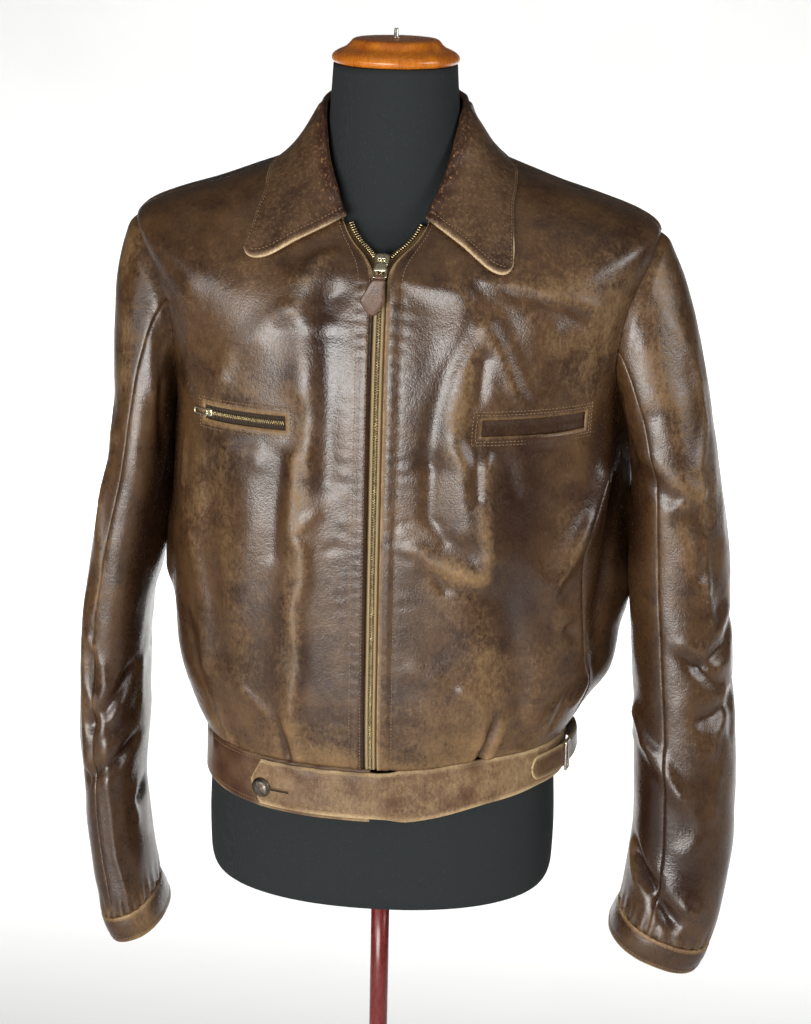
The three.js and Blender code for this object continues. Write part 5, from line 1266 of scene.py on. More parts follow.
# The fall: a place on the body between neck and edge, lifted off it, plus the stand's rise that fades as a square,
# plus the roll
def fallPoint(c, w, out, up):
    size = np.abs(c)
    right, left = collarEdges["right"], collarEdges["left"]
    edgeRound, edgeLevel = [np.where(c < 0, right[key](size), left[key](size)) for key in ("round", "level")]
    degrees = aroundBack(c, mixed(neckRound(c), edgeRound, w))
    v = mixed(1.0, edgeLevel, w)
    point = plainBody(degrees, v)
    relief = np.maximum(bodyRelief(degrees, v, point), 0)
    lifted = w * (collar["wall"] + collar["lift"] * (1 - w ** 6) + collar["rest"]) + relief
    neck, outward = neckPlace(c)
    risen = (rollPoint(c) - neck) * ((1 - w) ** 2)[..., None]
    lying = point + plainBodyNormal(degrees, v) * lifted[..., None] + risen
    return lying + outward * out[..., None] + rollUp(c) * up[..., None]


# The tip is rounded: the ends draw in along a quarter of an ellipse
def collarReach(w):
    start, reach = collar["tip"]
    return 1 - reach * (1 - np.sqrt(1 - np.clip((w - start) / (1 - start), 0, 1) ** 2))


# Fall: rows that turn over the roll and lie on the body, with waves and a bell-shaped dip along the sewing
def makeCollar():
    count = len(collar["rows"]) - 1
    at = np.linspace(0, count, collar["fine"])
    w, out, up = [track(np.stack([np.arange(count + 1), collar["rows"][:, k]], 1))(at)[:, None] for k in range(3)]
    share = signedPower(np.linspace(-1, 1, collar["columns"]), 0.9)[None]
    c = share * collarReach(w)
    w, out, up, c = np.broadcast_arrays(w, out, up, c)
    points = fallPoint(c, w, out, up)
    normals = gridNormals(points)
    fromRight, fromLeft = acrossGrid(points)
    down = np.concatenate([np.zeros((1, points.shape[1])),
                           np.cumsum(np.linalg.norm(np.diff(points, axis=0), axis=-1), 0)])
    fromEdge = np.minimum(np.minimum(fromRight, fromLeft), down[-1:] - down)
    calm = smooth(fromEdge / 6)
    wave = 0.9 * unevenness(points * 1.3) * calm
    wave = wave + 0.8 * np.sin(fromRight / 4.6 + 2 * np.sin(fromRight / 17)) * bell(down - 12, 9)
    wave = wave - 0.7 * bell(fromEdge - collar["sewn"], 1.1)
    wave = wave + 0.5 * bell(fromEdge - 3.2, 2.6) - 0.8 * bell(fromEdge, 1.2)
    points = points + normals * wave[..., None]
    rim = 1.5 + 3.2 * smooth((0.985 - np.abs(c)) / 0.06)
    rub = 1.35 * bell(fromEdge, rim) + np.clip(0.3 * ridges(wave, 5), -0.1, 0.4)
    rub = rub + 0.2 * unevenness(points)
    roll = bell(down - 7, 10)
    grime = 0.75 * roll + 0.25 * bell(fromEdge - collar["sewn"], 1.6) + 0.5 * bell(fromEdge - 4.6, 1.8)
    wear = {"rub": np.clip(rub, 0, 1.35), "grime": np.clip(grime, 0, 1), "flecked": (0.15 + 0.7 * roll) * calm}
    mesh = wallMesh("collar_fall_hide", points, collar["wall"], wear, round=0.9)
    piece = place("collar_fall_hide", mesh, collarHide, nodes=["collar_fall"], slot="worn_leather")
    # sewing round the edge: down the right front end, along the outer edge and up the left front end
    normals = gridNormals(points)
    rows, columns = points.shape[:2]
    inner = np.arange(10, rows)
    def sewnAt(row, distance, values):
        return np.stack([np.interp(distance, fromRight[row], values[row, :, k]) for k in range(3)])
    right, left = [
        np.array([[sewnAt(r, at, v) for v in (points, normals)] for r, at in zip(inner[:-6], places)])
        for places in (np.full(len(inner), collar["sewn"]), fromRight[inner, -1] - collar["sewn"])]
    edgeRows = np.array([np.interp(down[-1, k] - collar["sewn"], down[:, k], np.arange(rows)) for k in range(columns)])
    along = np.stack([betweenRows(v, edgeRows) for v in (points, normals)], 1)
    along = along[(fromRight[-1] > collar["sewn"]) & (fromLeft[-1] > collar["sewn"])]
    for line in (right, along, left):
        stitch(line[:, 0], line[:, 1])


# Stand: a straight blend from the neck seam to the roll, with a bell-shaped dip along its foot
def makeStand():
    share = signedPower(np.linspace(-1, 1, collar["columns"]), 0.9)[None]
    rise = np.linspace(0, 1, 14)[:, None]
    neck, outward = neckPlace(share)
    low = neck + np.array([0, 0, 1.0])
    points = mixed(low, rollPoint(share), rise[..., None])
    points = points + outward * (0.5 * unevenness(points) - 0.5 * bell((rise - 0.14) * 34, 1))[..., None]
    rub = np.broadcast_to(0.15 + 0.35 * smooth((rise - 0.7) / 0.3), points.shape[:2])
    mesh = wallMesh("collar_stand_hide", points, jacketBody["wall"], {"rub": rub, "grime": 0.55 - rub})
    piece = place("collar_stand_hide", mesh, collarHide, nodes=["collar_stand"])


# Waistband: straight down from the waist seam; its left half runs on past the centre as a pointed tab over the
# right half
band = {
    "wall": 2.6, "spread": 1.5,
    "height": [[-180, 46], [-80, 45], [-30, 50], [0, 51], [20, 48], [45, 41], [62, 37], [85, 38], [125, 42], [180, 46]],
    "tab": {"to": -38, "height": 41, "drop": 2.5, "point": 4.2, "rise": 4},
    "seams": (-80, 80), "gap": 0.07, "seam": 0.3, "rows": 22,
    "flat": {"right": (0.23, 0.051), "left": (0.36, 0.051), "back": (0.53, 0.046)},
}
bandTrack = track(band["height"])


# Height of the band by degrees
def bandHeight(degrees):
    return bandTrack(wrapped(degrees))


# Level normal of the band: the step along the waist ring, turned a quarter
def bandNormal(degrees):
    waist = jacketBody["levels"][0, 1:]
    along = ringPoint(waist, degrees + 0.5) - ringPoint(waist, degrees - 0.5)
    return unit(stacked(along[..., 1], -along[..., 0], 0))


# A place on the band: the waist seam moved out along its normal and straight down
def bandPoint(degrees, drop, out):
    degrees, drop, out = np.broadcast_arrays(degrees, drop, out)
    away = out + band["spread"] * drop / 51  # it leans out as it drops
    return plainBody(degrees, np.zeros(degrees.shape)) + bandNormal(degrees) * away[..., None] + stacked(0, 0, -drop)


# Share of the tab: a smooth step from 9 degrees down to 2
def tabShare(degrees):
    return smooth((9 - degrees) / 7)


# A band piece: rows between its upper and its lower drop, pushed out along the normal by waves
def makeBand(name, degrees, upper, lower, out, dirt=0.0):
    share = np.linspace(0, 1, band["rows"])[:, None]
    drop = mixed(lower, upper, share)
    points = bandPoint(degrees[None], drop, out)
    fromStart, fromEnd = acrossGrid(points)
    fromUpper, fromLower = drop - upper, lower - drop
    ends = np.minimum(fromStart, fromEnd)
    fromEdge = np.minimum(np.minimum(fromUpper, fromLower), ends)
    wave = 0.7 * unevenness(points * 1.4) * smooth(fromEdge / 6)
    gathers = 0.5 * np.sin(fromStart / 2.9 + 3 * np.sin(fromStart / 21))
    wave = wave + gathers * bell(fromUpper, 10) * smooth(fromUpper / 4)
    wave = wave - 0.6 * bell(fromLower - 5, 1.0) - 0.4 * bell(fromUpper - 3.5, 1.0) - 0.7 * bell(fromEdge, 1.1)
    normals = bandNormal(np.broadcast_to(degrees[None], drop.shape))
    points = points + normals * wave[..., None]
    rub = bell(fromLower, 3.1) + 0.9 * bell(fromUpper, 2.8) + bell(ends, 3.1) + 0.3 * unevenness(points * 0.7)
    grime = dirt + 0.3 * bell(fromUpper, 8) + np.clip(-0.65 * unevenness(points * 1.3 + 90), 0, 0.7)
    wear = {"rub": np.clip(rub, 0, 1), "grime": np.clip(grime, 0, 1)}
    mesh = wallMesh(f"band_{name}_hide", points, band["wall"], wear, round=0.9)
    piece = place(f"band_{name}_hide", mesh, bandHide, nodes=[f"band_{name}"], slot="worn_leather")
    return points, normals, fromLower, fromUpper


# Sewing along a strip at a distance from one of its edges, whichever way its rows run
def sewAcross(points, normals, distance, at, keep=slice(None)):
    order = np.arange(len(points))
    rows = np.array([np.interp(at, column[::way], order[::way])
                     for column, way in zip(distance.T, np.where(distance[0] > distance[-1], -1, 1))])
    stitch(betweenRows(points, rows)[keep], betweenRows(normals, rows)[keep])


# The three pieces of the band and their sewing; the left one narrows to the tab's point
def makeBands():
    gap, (rightSeam, leftSeam) = band["gap"], band["seams"]
    tab = band["tab"]
    degrees = np.linspace(rightSeam + gap, -gap, 170)
    right = makeBand("right", degrees, np.full((1, 170), band["seam"]), bandHeight(degrees)[None], 0.0, 0.5)
    pointed = tab["to"] + tab["point"] * np.linspace(0, 1, 16)[:-1]
    degrees = np.concatenate([pointed, np.linspace(tab["to"] + tab["point"], leftSeam - gap, 230)])
    over = tabShare(degrees)
    point = np.clip((degrees - tab["to"]) / tab["point"], 0.04, 1)
    upper = (band["seam"] + tab["drop"] * over + (1 - point) * tab["height"] / 2)[None]
    lower = (bandHeight(degrees) - tab["rise"] * over - (1 - point) * tab["height"] / 2)[None]
    left = makeBand("left", degrees, upper, lower, (band["wall"] + band["seam"]) * over)
    leftDegrees = degrees
    degrees = np.linspace(leftSeam + gap, 360 + rightSeam - gap, 230)
    behind = makeBand("back", degrees, np.full((1, 230), band["seam"]), bandHeight(degrees)[None], 0.0)
    for points, normals, fromLower, fromUpper in (right, behind):
        sewAcross(points, normals, fromLower, 5)
        sewAcross(points, normals, fromUpper, 3.5)
    points, normals, fromLower, fromUpper = left
    for distance, at in ((fromLower, 5), (fromUpper, 3.5), (fromLower, 9.5), (fromUpper, 8)):
        onTab = leftDegrees < 2 if at in (9.5, 8) else leftDegrees < 90
        sewAcross(points, normals, distance, at, (leftDegrees > tab["to"] + 3) & onTab)


makeCollar()
makeStand()
makeBands()
print("collar and band made")


# A profile carried along a path: frames are kept square to the path and as near to the given up as they can be
def tubeMesh(name, path, section, up, closedPath=False, attributes=None):
    ahead = (np.roll(path, -1, 0) - np.roll(path, 1, 0)) if closedPath else np.gradient(path, axis=0)
    ahead = unit(ahead)
    side = unit(np.cross(np.broadcast_to(up, path.shape), ahead))
    top = np.cross(ahead, side)
    points = path[:, None] + section[None, :, :1] * side[:, None] + section[None, :, 1:] * top[:, None]
    rows, columns = points.shape[:2]
    index = np.arange(rows * columns).reshape(rows, columns)
    index = np.concatenate([index, index[:, :1]], 1)
    if closedPath:
        index = np.concatenate([index, index[:1]])
    faces = np.stack([index[:-1, :-1], index[1:, :-1], index[1:, 1:], index[:-1, 1:]], -1).reshape(-1, 4)
    vertices, faces = (points.reshape(-1, 3), faces) if closedPath else capped(points, faces, 1)
    return newMesh(name, vertices, faces, attributes)


# Twelve places round an ellipse
def ellipse(wide, high):
    turn = np.linspace(0, 2 * np.pi, 12, endpoint=False)
    return np.stack([wide * np.cos(turn), high * np.sin(turn)], -1)


# Rounded rectangle as a closed line in the plane: straight sides joined by quarter circles
def roundedRectangle(width, height, corner):
    turn = np.linspace(0, np.pi / 2, 7)
    quarter = corner * np.stack([np.cos(turn), np.sin(turn)], -1)
    x, y = width / 2 - corner, height / 2 - corner
    parts = []
    for k, (cx, cy) in enumerate([(x, y), (-x, y), (-x, -y), (x, -y)]):
        c, s = np.cos(k * np.pi / 2), np.sin(k * np.pi / 2)
        parts.append(quarter @ np.array([[c, s], [-s, c]]) + (cx, cy))
    return np.concatenate(parts)


# A smooth closed outline through corners, each rounded off by a share of its sides
def roundedOutline(corners, share):
    corners = np.asarray(corners, float)
    before, after = [mixed(corners, np.roll(corners, k, 0), share) for k in (1, -1)]
    t = np.linspace(0, 1, 6)[None, :, None]
    curve = before[:, None] * (1 - t) ** 2 + 2 * corners[:, None] * t * (1 - t) + after[:, None] * t ** 2
    return curve.reshape(-1, 2)


# A pad: one outline drawn in by steps while it rises, closed in the middle at both faces
def padMesh(name, outline, steps, frameOf, attributes=None):
    centre = outline.mean(0)
    size = np.abs(outline - centre).max(0).min()
    rings = [stacked(*(centre + (outline - centre) * (1 - inset / size)).T, z) for inset, z in steps]
    points = frameOf(np.stack(rings))
    vertices, faces = capped(points, roundFaces(*points.shape[:2]), -1)
    return newMesh(name, vertices, faces, attributes)


# Front zip: tapes behind the front edges, closed teeth up to the slider and open teeth along the V above it
zipFastener = {
    "behind": -2.9, "tapeUnder": 7, "tapeWall": 0.8, "top": 0.925,
    "tapeShow": [[0, 3.6], [0.85, 3.6], [0.9, 6.2], [0.925, 8.6], [0.96, 9], [1, 7]],  # against the level
    "pitch": 2.3, "tooth": [2.7, 1.25, 1.8], "openTooth": [4.6, 1.35, 1.9],  # across, along, out
    "cord": [1.4, 1.9, 1.7, 1.5],  # reach over the closed teeth, rise, distance from the edge, half width
    "flat": (0.011, 0.53),
}
sliderFrame = {
    "at": np.array([0, -91.365, 1318.716]),
    "axes": np.array([[1, 0, 0], [0, 0.83707, 0.54709], [0, -0.54709, 0.83707]]),
}
pocketSliderFrame = {
    "at": np.array([-150.974, -85.396, 1178.032]),
    "axes": np.array([[0.00526, -0.00431, -0.99998], [0.79930, -0.60090, 0.00680], [-0.60091, -0.79931, 0.00028]]),
}


# Local points times the axes of a frame, plus its place
def inFrame(frameAt):
    return lambda points: np.asarray(points, float) @ frameAt["axes"] + frameAt["at"]


# A tooth: a small block with sloping sides, wide at its foot
toothFaces = np.array([[0, 3, 2, 1], [4, 5, 6, 7], [0, 1, 5, 4], [1, 2, 6, 5], [2, 3, 7, 6], [3, 0, 4, 7]])
def toothShape(across, along, out):
    foot = np.array([[-1, -1], [1, -1], [1, 1], [-1, 1]]) * 0.5
    low = np.concatenate([foot * (along, across), np.full((4, 1), -out / 2)], 1)
    high = np.concatenate([foot * (along * 0.72, across * 0.86), np.full((4, 1), out / 2)], 1)
    return np.concatenate([low, high])


# A strip beside a front edge: from the edge across the surface by two distances, at a depth
def zipLine(sign, v, distance, depth):
    edgeAt = lambda level: plainBody(sign * frontEdge(level), level)
    normal = plainBodyNormal(sign * frontEdge(v), v)
    along = edgeAt(np.minimum(v + 0.004, 1)) - edgeAt(np.maximum(v - 0.004, 0))
    across = unit(np.cross(along, normal)) * -sign
    return edgeAt(v) + across * np.asarray(distance)[..., None] + normal * np.asarray(depth)[..., None], normal


def makeZip():
    v = np.linspace(0, 1, 190)
    tapeShow = track(zipFastener["tapeShow"])
    for side, sign in signs.items():
        reach, rise, middle, half = zipFastener["cord"]
        shut = smooth((0.9 - v) / 0.04)[:, None]
        show = tapeShow(v)[:, None] + reach * shut
        distance = mixed(show, -zipFastener["tapeUnder"], np.linspace(0, 1, 24)[None] ** 1.4)
        cord = bell(show - distance - middle, half, 4)
        points = zipLine(sign, v[:, None], distance, zipFastener["behind"] + rise * cord * shut)[0]
        wear = {"cord": cord * mixed(0.25, 1, shut)}
        mesh = wallMesh(f"zip_tape_{side}_cloth", points, zipFastener["tapeWall"], wear, flip=sign, round=0.2)
        piece = place(f"zip_tape_{side}_cloth", mesh, zipTape, nodes=[f"zip_tape_{side}"], slot="zip_tape")
        level = np.linspace(0.935, 1, 60)
        line, normals = zipLine(sign, level, tapeShow(level) - 0.9, np.full(60, -1.5))
        centres, along, out = evenPlaces(line, normals, zipFastener["pitch"])
        tooth = toothShape(*zipFastener["openTooth"])
        mesh = repeatedMesh(f"zip_teeth_{side}_brass", tooth, toothFaces, centres, along, out)
        place(f"zip_teeth_{side}_brass", mesh, dullBrass, nodes=[f"zip_teeth_{side}"], slot="brass")
    level = np.linspace(0, zipFastener["top"], 260)
    line, normals = plainBody(0 * level, level), plainBodyNormal(0 * level, level)
    centres, along, out = evenPlaces(line, normals, zipFastener["pitch"] / 2)
    side = np.where(np.arange(len(centres)) % 2 == 0, -1.0, 1.0)[:, None]
    centres = centres + unit(np.cross(out, along)) * side * 0.6 - out * 1.6
    mesh = repeatedMesh("zip_chain_brass", toothShape(*zipFastener["tooth"]), toothFaces, centres, along, out)
    place("zip_chain_brass", mesh, dullBrass, nodes=["zip_chain"], slot="brass")


# A slider: a flat waisted body with a domed face, and a bail arched over it
def makeSlider(name, frameAt, width, length, thick, bail):
    half = [[0.36, -0.5], [0.5, 0.1], [0.46, 0.4], [0.24, 0.5]]
    corners = np.array([[-0.36, -0.5], *half, *[[-x, y] for x, y in half[:0:-1]]])
    outline = roundedOutline(corners * (width, length), 0.45)
    steps = [(2.2, 0), (0.5, 0), (0.1, 0.25), (0, 0.6), (0, thick - 0.9)]
    steps += [(0.35, thick - 0.35), (1.1, thick - 0.05), (2.6, thick)]
    place(name, padMesh(name, outline, steps, inFrame(frameAt)), wornBrass, nodes=[name[:-6]], slot="brass")
    reach, clear, bar = bail
    turn = np.linspace(0, np.pi, 17)
    arch = np.stack([0 * turn, reach / 2 * np.cos(turn), thick - 0.3 + (clear + 0.8) * np.sin(turn) ** 0.6], -1)
    mesh = tubeMesh(name + "_bail", inFrame(frameAt)(arch), ellipse(bar, 0.55), frameAt["axes"][0])
    place(name + "_bail", mesh, wornBrass, slot="brass")


# A link: a round bar bent to a rounded rectangle between two heights
def makeLink(name, frameAt, width, top, bottom, bar, high, body, nodes=()):
    line = roundedRectangle(width - bar, top - bottom - bar, 1.7)
    path = np.concatenate([line + (0, (top + bottom) / 2), np.full((len(line), 1), high)], 1)
    mesh = tubeMesh(name, inFrame(frameAt)(path), ellipse(bar / 2, 0.68), frameAt["axes"][2], True)
    place(name, mesh, wornBrass, body, nodes, "brass")


# The pull: an eye that hangs on the bail, a flat plate and a wide slot that carries the fob
def makePull():
    makeLink("zip_pull_eye", sliderFrame, 10, 0.75, -6.9, 1.6, 4.7, "zip_pull")
    makeLink("zip_pull_link_brass", sliderFrame, 13, -14, -24.25, 1.7, 4.7, "zip_pull", ["zip_pull_link"])
    outline = roundedOutline([[-4.6, -5.4], [-5.9, -15.4], [5.9, -15.4], [4.6, -5.4]], 0.14)
    steps = [(2, 4), (0.4, 4), (0, 4.3), (0, 5.1), (0.4, 5.4), (2, 5.4)]
    mesh = padMesh("zip_pull_plate", outline, steps, inFrame(sliderFrame))
    place("zip_pull_plate", mesh, wornBrass, "zip_pull", slot="brass")


# Fob: a leather pad that narrows to its point, hung on the link by a short loop
fob = {
    "corners": [[-5.4, 0], [-16.5, -19], [-9.5, -31], [-2.5, -32], [6, -19.5], [5.4, 0]],
    "thick": 2.6, "top": -25.85, "hang": 58, "hinge": 4.7,
}


def makeFob():
    turn = np.radians(fob["hang"])
    axes = sliderFrame["axes"]
    c, s = np.cos(turn), np.sin(turn)
    tilted = np.stack([axes[0], axes[1] * c + axes[2] * s, axes[2] * c - axes[1] * s])
    at = sliderFrame["at"] + axes[1] * fob["top"] + axes[2] * fob["hinge"]
    hung = inFrame({"at": at, "axes": tilted})
    half = fob["thick"] / 2
    steps = [(5, -half), (1.2, -half), (0.3, -half * 0.7), (0, 0), (0.3, half * 0.7), (1.2, half), (5, half)]
    mesh = padMesh("zip_pull_fob_hide", roundedOutline(fob["corners"], 0.16), steps, hung, {"rub": 0.25, "grime": 0.1})
    place("zip_pull_fob_hide", mesh, fobHide, "zip_pull", ["zip_pull_fob"], "worn_leather")
    bend = np.linspace(0, 2 * np.pi, 24, endpoint=False)
    loop = np.stack([0 * bend, 1.25 + 1.6 * np.cos(bend), -2 + 1.6 * np.sin(bend)], -1)
    mesh = tubeMesh("zip_pull_loop", hung(loop), ellipse(0.45, 4.2), axes[0], True, {"rub": 0.4, "grime": 0.1})
    place("zip_pull_loop", mesh, fobHide, "zip_pull", slot="worn_leather")


makeZip()
makeSlider("zip_slider_brass", sliderFrame, 14, 17, 3.4, (8.2, 2.6, 1.5))
makePull()
makeFob()
print("zip made")

# Pockets: behind each mouth a strip closes it; the right one is a zip, the left one a leather welt
pocketParts = {
    "behind": -2.9, "reach": 5.5, "chain": [3.2, 1.1, 1.5], "pitch": 2.0, "sewn": (4.4, 7.2),
    "tapeFlat": (0.13, 0.024), "weltFlat": (0.14, 0.026),
}


# A place on the line of a mouth, at a height over it, with the body's normal there
def pocketPlace(pocket, share, up):
    degrees = mixed(pocket["from"][0], pocket["to"][0], share)
    v = levelAtHeight(degrees, mixed(pocket["from"][1], pocket["to"][1], share) + up)
    return plainBody(degrees, v), plainBodyNormal(degrees, v)


# The body along a mouth, set back along its normal and sagging by a cosine across
def makePocketStrip(name, side, wall, material, slot, node, sag):
    pocket = pockets[side]
    share = np.linspace(-0.07, 1.07, 90)[None]
    reach = pocket["height"] / 2 + pocketParts["reach"]
    up = np.linspace(-reach, reach, 16)[:, None]
    share, up = np.broadcast_arrays(share, up)
    point, normal = pocketPlace(pocket, share, up)
    wave = sag * np.cos(np.pi * np.clip(up / reach, -1, 1)) * (0.5 + 0.3 * np.sin(share * 9))
    points = point + normal * (pocketParts["behind"] - np.clip(wave, 0, 1.2))[..., None]
    rub = np.full(up.shape, 0.1)
    mesh = wallMesh(name, points, wall, {"rub": rub, "grime": 0.75 - rub}, round=0.2)
    piece = place(name, mesh, material, nodes=[node], slot=slot)


# The chain: teeth along the mouth, every second one turned to the other side
def makePocketZip():
    share = np.linspace(0.13, 0.985, 120)
    line, normals = pocketPlace(pockets["right"], share, 0 * share)
    centres, along, out = evenPlaces(line, normals, pocketParts["pitch"] / 2)
    turn = np.where(np.arange(len(centres)) % 2 == 0, -1.0, 1.0)[:, None]
    centres = centres + unit(np.cross(out, along)) * turn * 0.75 - out * 1.85
    tooth = toothShape(*pocketParts["chain"])
    mesh = repeatedMesh("pocket_zip_chain_brass", tooth, toothFaces, centres, along, out)
    place("pocket_zip_chain_brass", mesh, dullBrass, nodes=["pocket_zip_chain"], slot="brass")


makePocketStrip("pocket_zip_tape_cloth", "right", 0.8, zipCloth, "zip_tape", "pocket_zip_tape",
                0.0)
makePocketStrip("pocket_welt_hide", "left", 2.0, jacketHide, "leather", "pocket_welt", 0.8)
makePocketZip()
makeSlider("pocket_zip_slider_brass", pocketSliderFrame, 7.6, 9, 2.6, (5.6, 2.2, 1.1))
makeLink("pocket_zip_pull_brass", pocketSliderFrame, 6.4, 0.65, -16.35, 1.3, 3.7, "pocket_pull", ["pocket_zip_pull"])
for pocket in pockets.values():
    for margin in pocketParts["sewn"]:
        degrees, v = pocketFrame(pocket, margin)
        point = plainBody(degrees, v)
        normal = plainBodyNormal(degrees, v)
        stitch(point + normal * bodyRelief(degrees, v, point)[..., None], normal)
print("pockets made")

# Side strap: sewn behind, standing off round the side and lying on the band at its rounded tip, through a buckle
strap = {
    "tip": 54, "end": 118, "height": 23, "drop": 19, "wall": 2.2, "seam": 0.3, "standOff": 9, "standAt": 96,
    "flat": (0.2, 0.023),
}
buckle = {"round": 76, "width": 31, "reach": 11, "bar": 2.6}
button = {"round": -33, "drop": 29, "radius": 9.5, "rise": 5.2, "hole": [-26.2, 19, 1.9]}  # hole: middle, length, width


# How far the strap stands out: its wall, a bell curve at the buckle and a wide one at the side
def strapOut(degrees):
    rise = 2 * bell(degrees - buckle["round"], 7)
    return strap["seam"] + strap["wall"] + rise + strap["standOff"] * bell(degrees - strap["standAt"], 13)


# Strap: places of the band pushed out, as wide as a half circle at the tip
def makeStrap():
    radius, scale = strap["height"] / 2, jacketBody["mmPerDegree"]
    rounded = radius * (1 - np.cos(np.linspace(0.12, np.pi / 2, 14)[:-1]))
    fromTip = np.concatenate([rounded, np.linspace(radius, (strap["end"] - strap["tip"]) * scale, 130)])
    degrees = strap["tip"] + fromTip / scale
    half = np.where(fromTip >= radius, radius, np.sqrt(np.maximum(radius ** 2 - (radius - fromTip) ** 2, 1)))
    share = np.linspace(1, -1, 13)[:, None]
    points = bandPoint(degrees[None], strap["drop"] + share * half, strapOut(degrees)[None])
    fromEdge = (1 - np.abs(share)) * half
    normals = bandNormal(np.broadcast_to(degrees[None], fromEdge.shape))
    wave = 0.5 * unevenness(points * 1.5) - 0.5 * bell(fromEdge - 3, 0.9) - 0.6 * bell(fromEdge, 1.1)
    points = points + normals * wave[..., None]
    rub = 0.7 * bell(fromEdge, 2.2) + 0.3 * bell(fromTip, 6)[None]
    wear = {"rub": np.clip(rub, 0, 1), "grime": np.clip(0.5 - rub, 0, 1)}
    mesh = wallMesh("strap_hide", points, strap["wall"], wear, round=0.9)
    piece = place("strap_hide", mesh, bandHide, nodes=["strap"])
    for row in (2, 10):
        keep = fromTip > 7
        stitch(points[row][keep], normals[row][keep], 3.0)


# A frame that seats a piece on the band: x along it, y up, z out
def bandFrame(degrees, drop, out):
    degrees, drop, out = [np.array(float(value)) for value in (degrees, drop, out)]
    normal = bandNormal(degrees)
    right = unit(np.cross((0, 0, 1.0), normal))
    return {"at": bandPoint(degrees, drop, out), "axes": np.stack([right, np.cross(normal, right), normal])}


# Buckle: an ellipse carried round a rounded rectangle
def makeBuckle():
    seat = bandFrame(buckle["round"], strap["drop"], strapOut(buckle["round"]) + 0.6)
    line = roundedRectangle(buckle["reach"] - buckle["bar"], buckle["width"] - buckle["bar"], 2.2)
    path = np.concatenate([line, np.full((len(line), 1), buckle["bar"] / 2)], 1)
    mesh = tubeMesh("buckle_steel", inFrame(seat)(path), ellipse(1.3, 1.25), seat["axes"][2], True)
    place("buckle_steel", mesh, agedSteel, nodes=["buckle"], slot="steel")


# Button: a turned dome with a rolled rim, dimpled as if by a hammer
def makeButton():
    r, h = button["radius"], button["rise"]
    profile = np.array([[0.01, 0], [r - 1, 0], [r - 0.2, 0.4], [r, 0.95], [r - 0.15, 1.5], [r - 0.6, 1.85],
                        [r * 0.88, 2.5], [r * 0.8, 3.7],
                        [r * 0.66, 4.4], [r * 0.45, 4.85], [r * 0.25, 5.1], [r * 0.1, h], [0.01, h]])
    turn = np.linspace(0, 2 * np.pi, 40, endpoint=False)
    radius, height = profile[:, :1], profile[:, 1:]
    x, y = radius * np.cos(turn), radius * np.sin(turn)
    dimples = 0.28 * np.sin(x * 1.9 + 1) * np.sin(y * 2.1 + 0.4) * smooth((height - 2) / 2)
    seat = bandFrame(button["round"], button["drop"], band["wall"] + 0.6)
    points = inFrame(seat)(np.stack([x, y, height + dimples], -1))
    mesh = newMesh("button_steel", points.reshape(-1, 3), roundFaces(*points.shape[:2]))
    place("button_steel", mesh, antiqueSteel, nodes=["button"], slot="steel")


# Buttonhole: a dark pad on the tab, painted shade where the slit would open, with a row of sewing along each lip
def makeButtonhole():
    degrees, length, width = button["hole"]
    seat = bandFrame(degrees, button["drop"], band["wall"] + 0.5)
    outline = roundedRectangle(length, width, 0.8)
    steps = [(0.5, 0), (0, 0.1), (0, 0.3), (0.5, 0.4)]
    place("buttonhole_painted_shade", padMesh("buttonhole_painted_shade", outline, steps, inFrame(seat)), zipCloth)
    for lip in (-1, 1):
        line = stacked(np.linspace(-length / 2 - 1, length / 2 + 1, 30), lip * (width / 2 + 0.5), 0.35)
        stitch(inFrame(seat)(line), np.broadcast_to(seat["axes"][2], line.shape), 1.7)


makeStrap()
makeBuckle()
makeButton()
makeButtonhole()
print("strap and button made")

